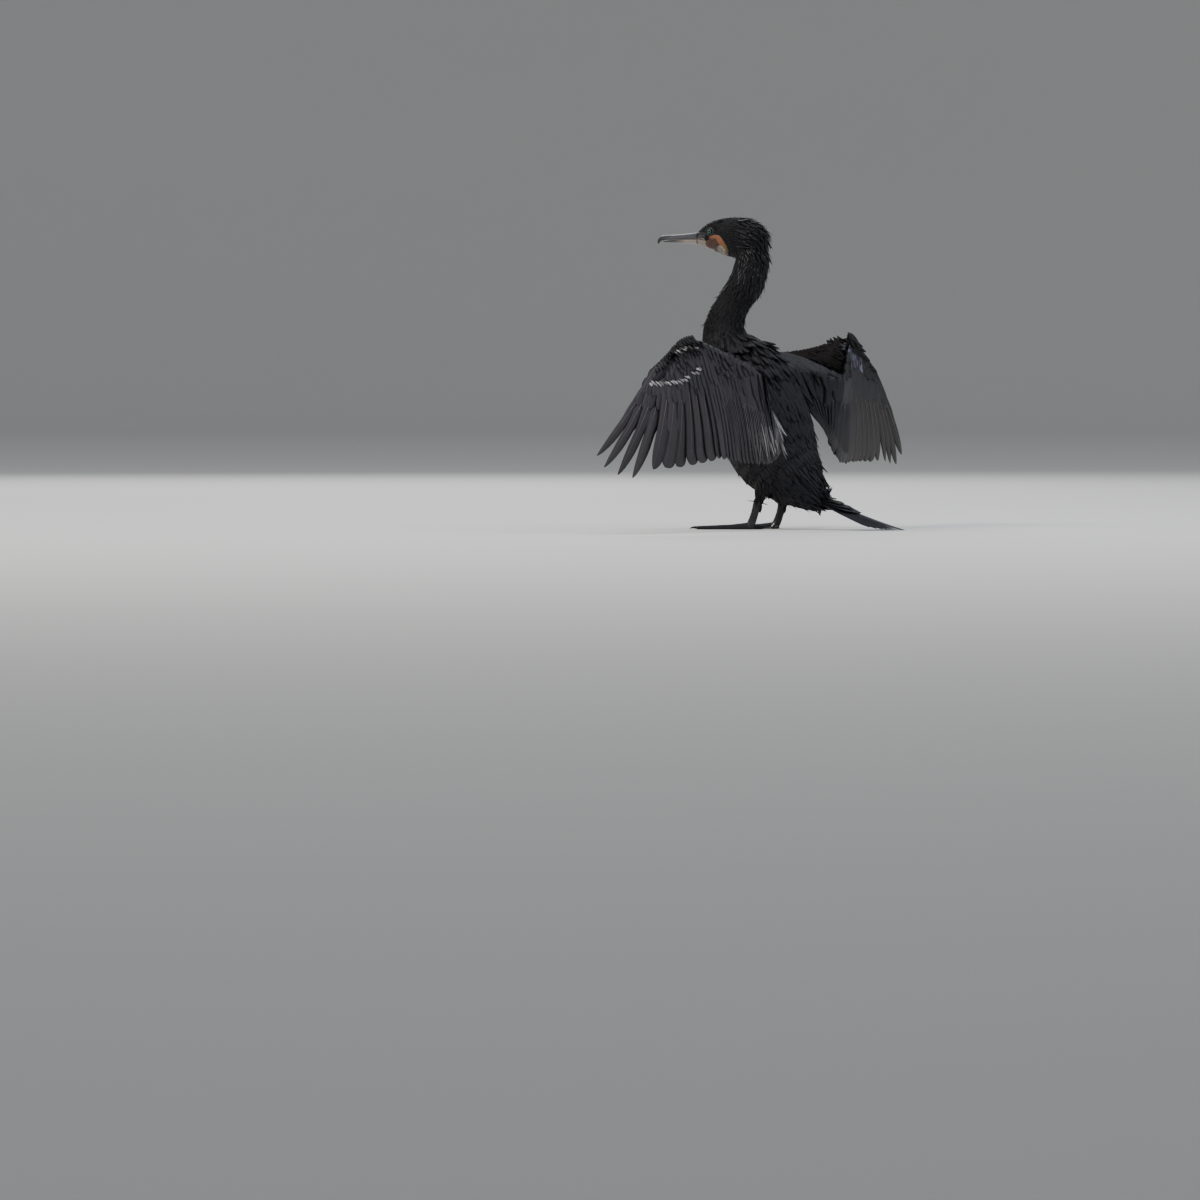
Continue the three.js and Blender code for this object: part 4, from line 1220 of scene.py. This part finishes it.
# Patches: size is length, width and how far the tips stand off; a test gets the roots, the directions that
# they face and how far forward they are along the head
tuftPatch = {"heights": (-1e6, 1e6), "shape": "tuft", "loose": 0.12}
mantlePatch = {  # large feathers with dark edges, some of them raised behind the neck
    "seeds": (6, 120), "gap": 6.2, "heights": (120, 345), "size": (29.0, 13.0, 1.5), "shape": "mantle",
    "loose": 0.06, "raised": 0.4, "where": lambda p, n, f: onMantle(p, n) > 0.25,
}
filoplumePatch = {  # thin white plumes on the sides of the nape
    "seeds": (140, 141), "gap": 4.2, "heights": (398, 486), "size": (10.0, 0.8, 3.0), "shape": "small",
    "loose": 0.0, "where": lambda p, n, f: (n[:, 0] > -0.35) & (f < 16),
}
tufts = [  # shaggy places: seed, gap, size and test
    # the nape
    (130, 4.2, (19, 4.8, 5.0), lambda p, n, f: (p[:, 2] > 380) & (n[:, 0] > 0.1) & (f < 24)),
    # the back of the crown
    (133, 7.5, (23, 5.5, 7.5), lambda p, n, f: (p[:, 2] > 428) & (n[:, 0] > 0.35) & (f < 6)),
    # the front and back edges of the neck
    (134, 6, (11, 5.0, 3.2), lambda p, n, f: (p[:, 2] > 330) & (p[:, 2] < 415) & (abs(n[:, 0]) > 0.55)),
    # the rump
    (131, 7, (26, 7, 8), lambda p, n, f: (p[:, 2] > 60) & (p[:, 2] < 108) & (n[:, 0] > 0.5)),
    # round the vent
    (132, 7, (24, 8, 4), lambda p, n, f: (p[:, 2] < 62) & (p[:, 0] > 58) & (n[:, 2] < 0.1)),
]


def dressBody(mesh):
    roots, normals = poissonRoots(mesh, coatSpacing, 5)
    f, out, z = headFrame(roots)
    onHead, small = ease(z, 428, 16), mix(1, 0.5, ease(f, 44, 22))
    sizes = [mix(mix(neck, body, onBody(z)), head, onHead) * small for head, neck, body in coatSizes]
    mantle = onMantle(roots, normals) > 0.5
    for seed, name, held, nodes in [
        (100, "coat_head", z > 432, ["head"]),
        (101, "coat_neck", (z <= 432) & (z > 318), ["neck_upper", "neck_lower"]),
        (102, "coat_body", (z <= 318) & ~mantle, ["torso", "thigh_left", "thigh_right"]),
    ]:
        batch = coatBatch(roots[held], normals[held], seed, [size[held] for size in sizes], loose=0.05)
        addFeathers(name, batch, 3, bodyFeather, nodes, double=False)
        print(name, held.sum(), "feathers")
    shaggy = [
        patchBatch(mesh, tuftPatch | {"seeds": (seed, seed), "gap": gap, "size": size, "where": where})
        for seed, gap, size, where in tufts
    ]
    plumes = patchBatch(mesh, filoplumePatch)
    plumes["tint"] = layered(len(plumes["tint"]), "#85868c")
    for name, batch, material, nodes in [
        ("coat_mantle", patchBatch(mesh, mantlePatch), scalyFeather, ["torso"]),
        ("coat_tufts", joinBatches(shaggy), bodyFeather, ["neck_upper", "torso"]),
        ("coat_filoplumes", plumes, bodyFeather, ["neck_upper"]),
    ]:
        addFeathers(name, batch, 3, material, nodes, double=False)


# Bill, eyes, legs and claws
def copyPiece(name, nodes, voxel, rounds, material, colours):
    # one loose copy of the CAD nodes, made into one shell, smoothed and painted
    bm = bmesh.new()
    for node in nodes:
        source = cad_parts[node]
        held = source.data.copy()
        held.transform(source.matrix_world)
        bm.from_mesh(held)
        bpy.data.meshes.remove(held)
    bmesh.ops.remove_doubles(bm, verts=bm.verts, dist=1e-6)
    mesh = bpy.data.meshes.new(name)
    bm.to_mesh(mesh)
    bm.free()
    piece = addPiece(name, mesh)
    smoothShell(piece, voxel, rounds)
    mesh = piece.data
    paint(mesh, colours(*meshShape(mesh)))
    mesh.shade_smooth()
    carry(piece, material, nodes)


def upperBillColour(points, normals):
    f, out, z = headFrame(points)
    along = (f - billBase) / billLength
    side = ease(z, 468.2, -2) * ease(along, 0.86, -0.2)
    return layered(len(points), "#3b3d45", [
        (ease(along, 0.75, 0.2), "#26272b"), (side, "#5b5a5e"), (ease(z, 471, 2) * 0.6, "#1c1d20"),
    ])


def lowerBillColour(points, normals):
    f, out, z = headFrame(points)
    along = (f - billBase) / billLength
    keel = ease(z, 457.8, -1.6) * ease(along, 0, 0.4) * 0.6
    return layered(len(points), "#938a80", [(ease(along, 0.22, 0.45), "#38373b"), (keel, "#3f3d3f")])


def footColour(points, normals):
    z = points[:, 2]
    # darker below and above a height of 9 mm, so the toes are palest
    awayFromToeHeight = np.minimum(np.abs(z - 9), 10) / 10
    web = ease(z, 6, -3) * ease(normals[:, 2], 0.75, 0.2)
    return layered(len(points), "#2c2e34", [(awayFromToeHeight, "#1b1c20"), (web, "#26282d")])


def clawColour(points, normals):
    return layered(len(points), "#17171a")


def makeEyeMaterial():
    # A wet cornea over an emerald iris: a sharp catchlight, fine darker spokes and a round black pupil.
    material, tree, shader = startMaterial("wetEmeraldEye", {
        "IOR": 1.376, "Roughness": 0.25, "Coat Weight": 1.0, "Coat Roughness": 0.03,
    })
    gaze = addNode(tree, "Attribute", attribute_name="gaze").outputs["Fac"]
    colour = ramp(tree, gaze, [
        (0.0, "#040506"), (0.235, "#040506"), (0.255, "#08221e"), (0.32, "#125244"), (0.42, "#14604e"),
        (0.52, "#082f2a"), (0.56, "#07090a"), (1.0, "#07090a"),
    ])
    spokes = noise(tree, 2200.0, 2.0, addNode(tree, "TexCoord").outputs["Object"])
    finishMaterial(tree, shader, shaded(tree, colour, spokes, spread(0.3)))
    return material


def makeEye(node, sideSign, material):
    # an eyeball with its pupil, iris and dark rim told apart by the angle from its own axis
    lowCorner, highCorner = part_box(node)
    centre = (lowCorner + highCorner) / 2
    radius = eyeRadius * 0.001
    bpy.ops.mesh.primitive_uv_sphere_add(segments=48, ring_count=32, radius=radius, location=centre)
    eye = bpy.context.object
    eye.name = node + "_ball"
    bpy.ops.object.transform_apply(location=True, rotation=True, scale=True)
    mesh = eye.data
    gaze = unit(headLeft * sideSign + headForward * 0.16 + np.array((0, 0, 0.02)))
    off = readRows(mesh.vertices, "co") - np.array(centre)
    facing = unit(off) @ gaze
    bulge = 1 + 0.05 * ease(facing, 0.86, 0.1)  # the cornea stands a little proud
    setPoints(mesh, np.array(centre) + off * bulge[:, None])
    layer = mesh.attributes.new("gaze", "FLOAT", "POINT")
    layer.data.foreach_set("value", flat(np.degrees(np.arccos(np.clip(facing, -1, 1))) / 90))
    mesh.shade_smooth()
    carry(eye, material, [node])


# Tail
tailPlan = {"rootX": 94, "rootZ": 47, "fan": 15.0, "length": 152.0, "press": 4.6, "count": 14}
tailCovertRows = [  # how many, length, height, share of the fan and colour
    (10, 0.5, 5.0, 0.95, "#26272d"), (10, 0.4, 6.5, 0.85, "#24252b"), (9, 0.3, 8.0, 0.75, "#222329"),
    (8, 0.2, 9.5, 0.65, "#202127"),
]


def tailFeather(share, start, reach, width, lift, shape, thick, tint):
    # share is the feather's place in the fan, from -1 on the left to 1 on the right
    angle = math.radians(share * tailPlan["fan"])
    length = tailPlan["length"] * (1 - 0.24 * share * share) * reach
    rootX, rootZ, press = tailPlan["rootX"], tailPlan["rootZ"], tailPlan["press"]
    shares, widths = shape
    rows = len(shares)
    middle = np.zeros((rows, 3))
    for r, along in enumerate(shares):
        t = mix(start, 1, along)
        run = t * length
        fall = (rootZ + press) * (1 - min(run / (tailPlan["length"] * 0.97), 1)) ** 1.12 - press
        height = fall + 0.5 + lift * (0.4 + t) + (1 - abs(share)) * 2.6 * (1 - t)
        middle[r] = (rootX + run * math.cos(angle), share * 9 + run * math.sin(angle), max(height, 0.5))
    along = unit(np.gradient(middle, axis=0))
    side = unit(np.array((-math.sin(angle), math.cos(angle), 0.055 if share > 0 else -0.055)))
    across = np.tile(side, (rows, 1))
    half = width / 2 * widths
    return {
        "middle": middle[None], "across": across[None], "outward": unit(np.cross(along, across))[None],
        "left": half[None], "right": half[None], "crown": (half * 0.05)[None],
        "thick": np.full((1, rows), thick), "tint": linear(tint)[None],
    }


def dressTail():
    rng = np.random.default_rng(33)
    long, short = outline(22, 0.4, 0.14), outline(11, 0.5, 0.4)
    stiff, cover = [], []
    for share in [i / (tailPlan["count"] - 1) * 2 - 1 for i in range(tailPlan["count"])]:
        reach, lift = 1 - 0.01 * rng.random(), (1 - abs(share)) * 4.2
        stiff.append(tailFeather(share, 0.06, reach, 15.5, lift, long, 0.3, "#32333b"))
    for count, reach, lift, fan, tint in tailCovertRows:
        for share in [(i / (count - 1) * 2 - 1) * fan for i in range(count)]:
            far = reach + rng.normal() * 0.012
            cover.append(tailFeather(share, 0.02, far, 15, lift, short, 0.25, tint))
    stiffBatch, coverBatch = gather(stiff, long[0], 0.1), gather(cover, short[0])
    addFeathers("tail_feathers", stiffBatch, 5, flightFeather, ["tail"])
    addFeathers("tail_coverts", coverBatch, 5, scalyFeather, ["tail"])
    print("tail done")


# The whole bird
dressTail()
dressBody(makeSkin())
for wingName in wingPlans:
    dressWing(wingName)
copyPiece("bill_upper_sheath", ["bill_upper"], 0.5, 5, billHorn, upperBillColour)
copyPiece("bill_lower_sheath", ["bill_lower"], 0.5, 5, billHorn, lowerBillColour)
eyeMaterial = makeEyeMaterial()
makeEye("eye_left", 1, eyeMaterial)
makeEye("eye_right", -1, eyeMaterial)
for sideName in ("left", "right"):
    legNodes = ["leg_" + sideName, "foot_" + sideName]
    copyPiece("webbed_foot_" + sideName, legNodes, 0.9, 3, footSkin, footColour)
    claws = ["claw_" + sideName + "_" + toe for toe in ("outer", "middle", "inner", "hind")]
    copyPiece("claws_" + sideName, claws, 0.35, 3, clawHorn, clawColour)
print("bill, eyes and feet done")


# Stage: a pale floor that curves up into a backdrop, and soft lamps
stagePlan = {"flatTo": 19.0, "curve": 4.0, "top": 6.0, "colour": "#dcdcda", "fleck": "#e2e2e0"}
lamps = [
    # name, place in metres, size, power, colour
    ("keyLamp", (-3.2, -4.2, 4.6), 3.2, 240, "#fff4e8"), ("fillLamp", (5.4, -0.4, 3.2), 4.0, 90, "#eaf1ff"),
    ("topLamp", (0.4, 0.6, 5.0), 4.0, 150, "#f4f7ff"), ("rearLamp", (-3.5, 4.5, 3.2), 3.0, 130, "#ffffff"),
]
skyPlan = {"colour": "#dfe3e8", "strength": 0.42}


def stageMaterial(plan):
    # Painted board: matt and plain, with a faint grain.
    material, tree, shader = startMaterial("mattPaintedBoard", {"Roughness": 0.85, "IOR": 1.45})
    grain = addNode(tree, "TexNoise", {"Scale": 3.0, "Detail": 4.0}).outputs["Fac"]
    finishMaterial(tree, shader, ramp(tree, grain, [(0.3, plan["colour"]), (0.7, plan["fleck"])]))
    return material


def addStage(plan):
    # a round floor whose rim curves up, so that every side has the same plain background
    radius, height = plan["flatTo"] - 1, 0.0
    angles = [i / 12 * math.pi / 2 for i in range(13)]
    curve = plan["curve"]
    profile = [(plan["flatTo"] + curve * math.sin(a), curve * (1 - math.cos(a))) for a in angles]
    profile.append((plan["flatTo"] + curve, curve + plan["top"]))
    bpy.ops.object.select_all(action="DESELECT")
    bpy.ops.mesh.primitive_circle_add(vertices=128, radius=radius, fill_type="NGON", location=(0, 0, 0))
    floor = bpy.context.object
    floor.name = "paleFloor"
    bpy.ops.object.mode_set(mode="EDIT")
    bpy.ops.mesh.select_all(action="SELECT")
    bpy.ops.mesh.region_to_loop()
    for nextRadius, nextHeight in profile:
        bpy.ops.mesh.extrude_edges_move(TRANSFORM_OT_translate={"value": (0, 0, nextHeight - height)})
        grown = nextRadius / radius
        bpy.ops.transform.resize(value=(grown, grown, 1))
        radius, height = nextRadius, nextHeight
    bpy.ops.mesh.select_all(action="SELECT")
    bpy.ops.mesh.normals_make_consistent(inside=True)
    bpy.ops.object.mode_set(mode="OBJECT")
    floor.data.shade_smooth()
    floor.data.materials.append(stageMaterial(plan))


def addLamps():
    for name, where, size, power, colour in lamps:
        bpy.ops.object.light_add(type="AREA", location=where)
        lamp = bpy.context.object
        lamp.name = name
        lamp.data.shape = "DISK"
        lamp.data.size = size
        lamp.data.energy = power
        lamp.data.color = linear(colour)
        turnTo(lamp, Vector(birdOrigin) + Vector((0, 0, 0.25)) - lamp.location)
    world = bpy.data.worlds.new("paleRoom")
    bpy.context.scene.world = world
    world.use_nodes = True
    sky = world.node_tree.nodes["Background"]
    sky.inputs["Color"].default_value = rgba(skyPlan["colour"])
    sky.inputs["Strength"].default_value = skyPlan["strength"]


addStage(stagePlan)
addLamps()
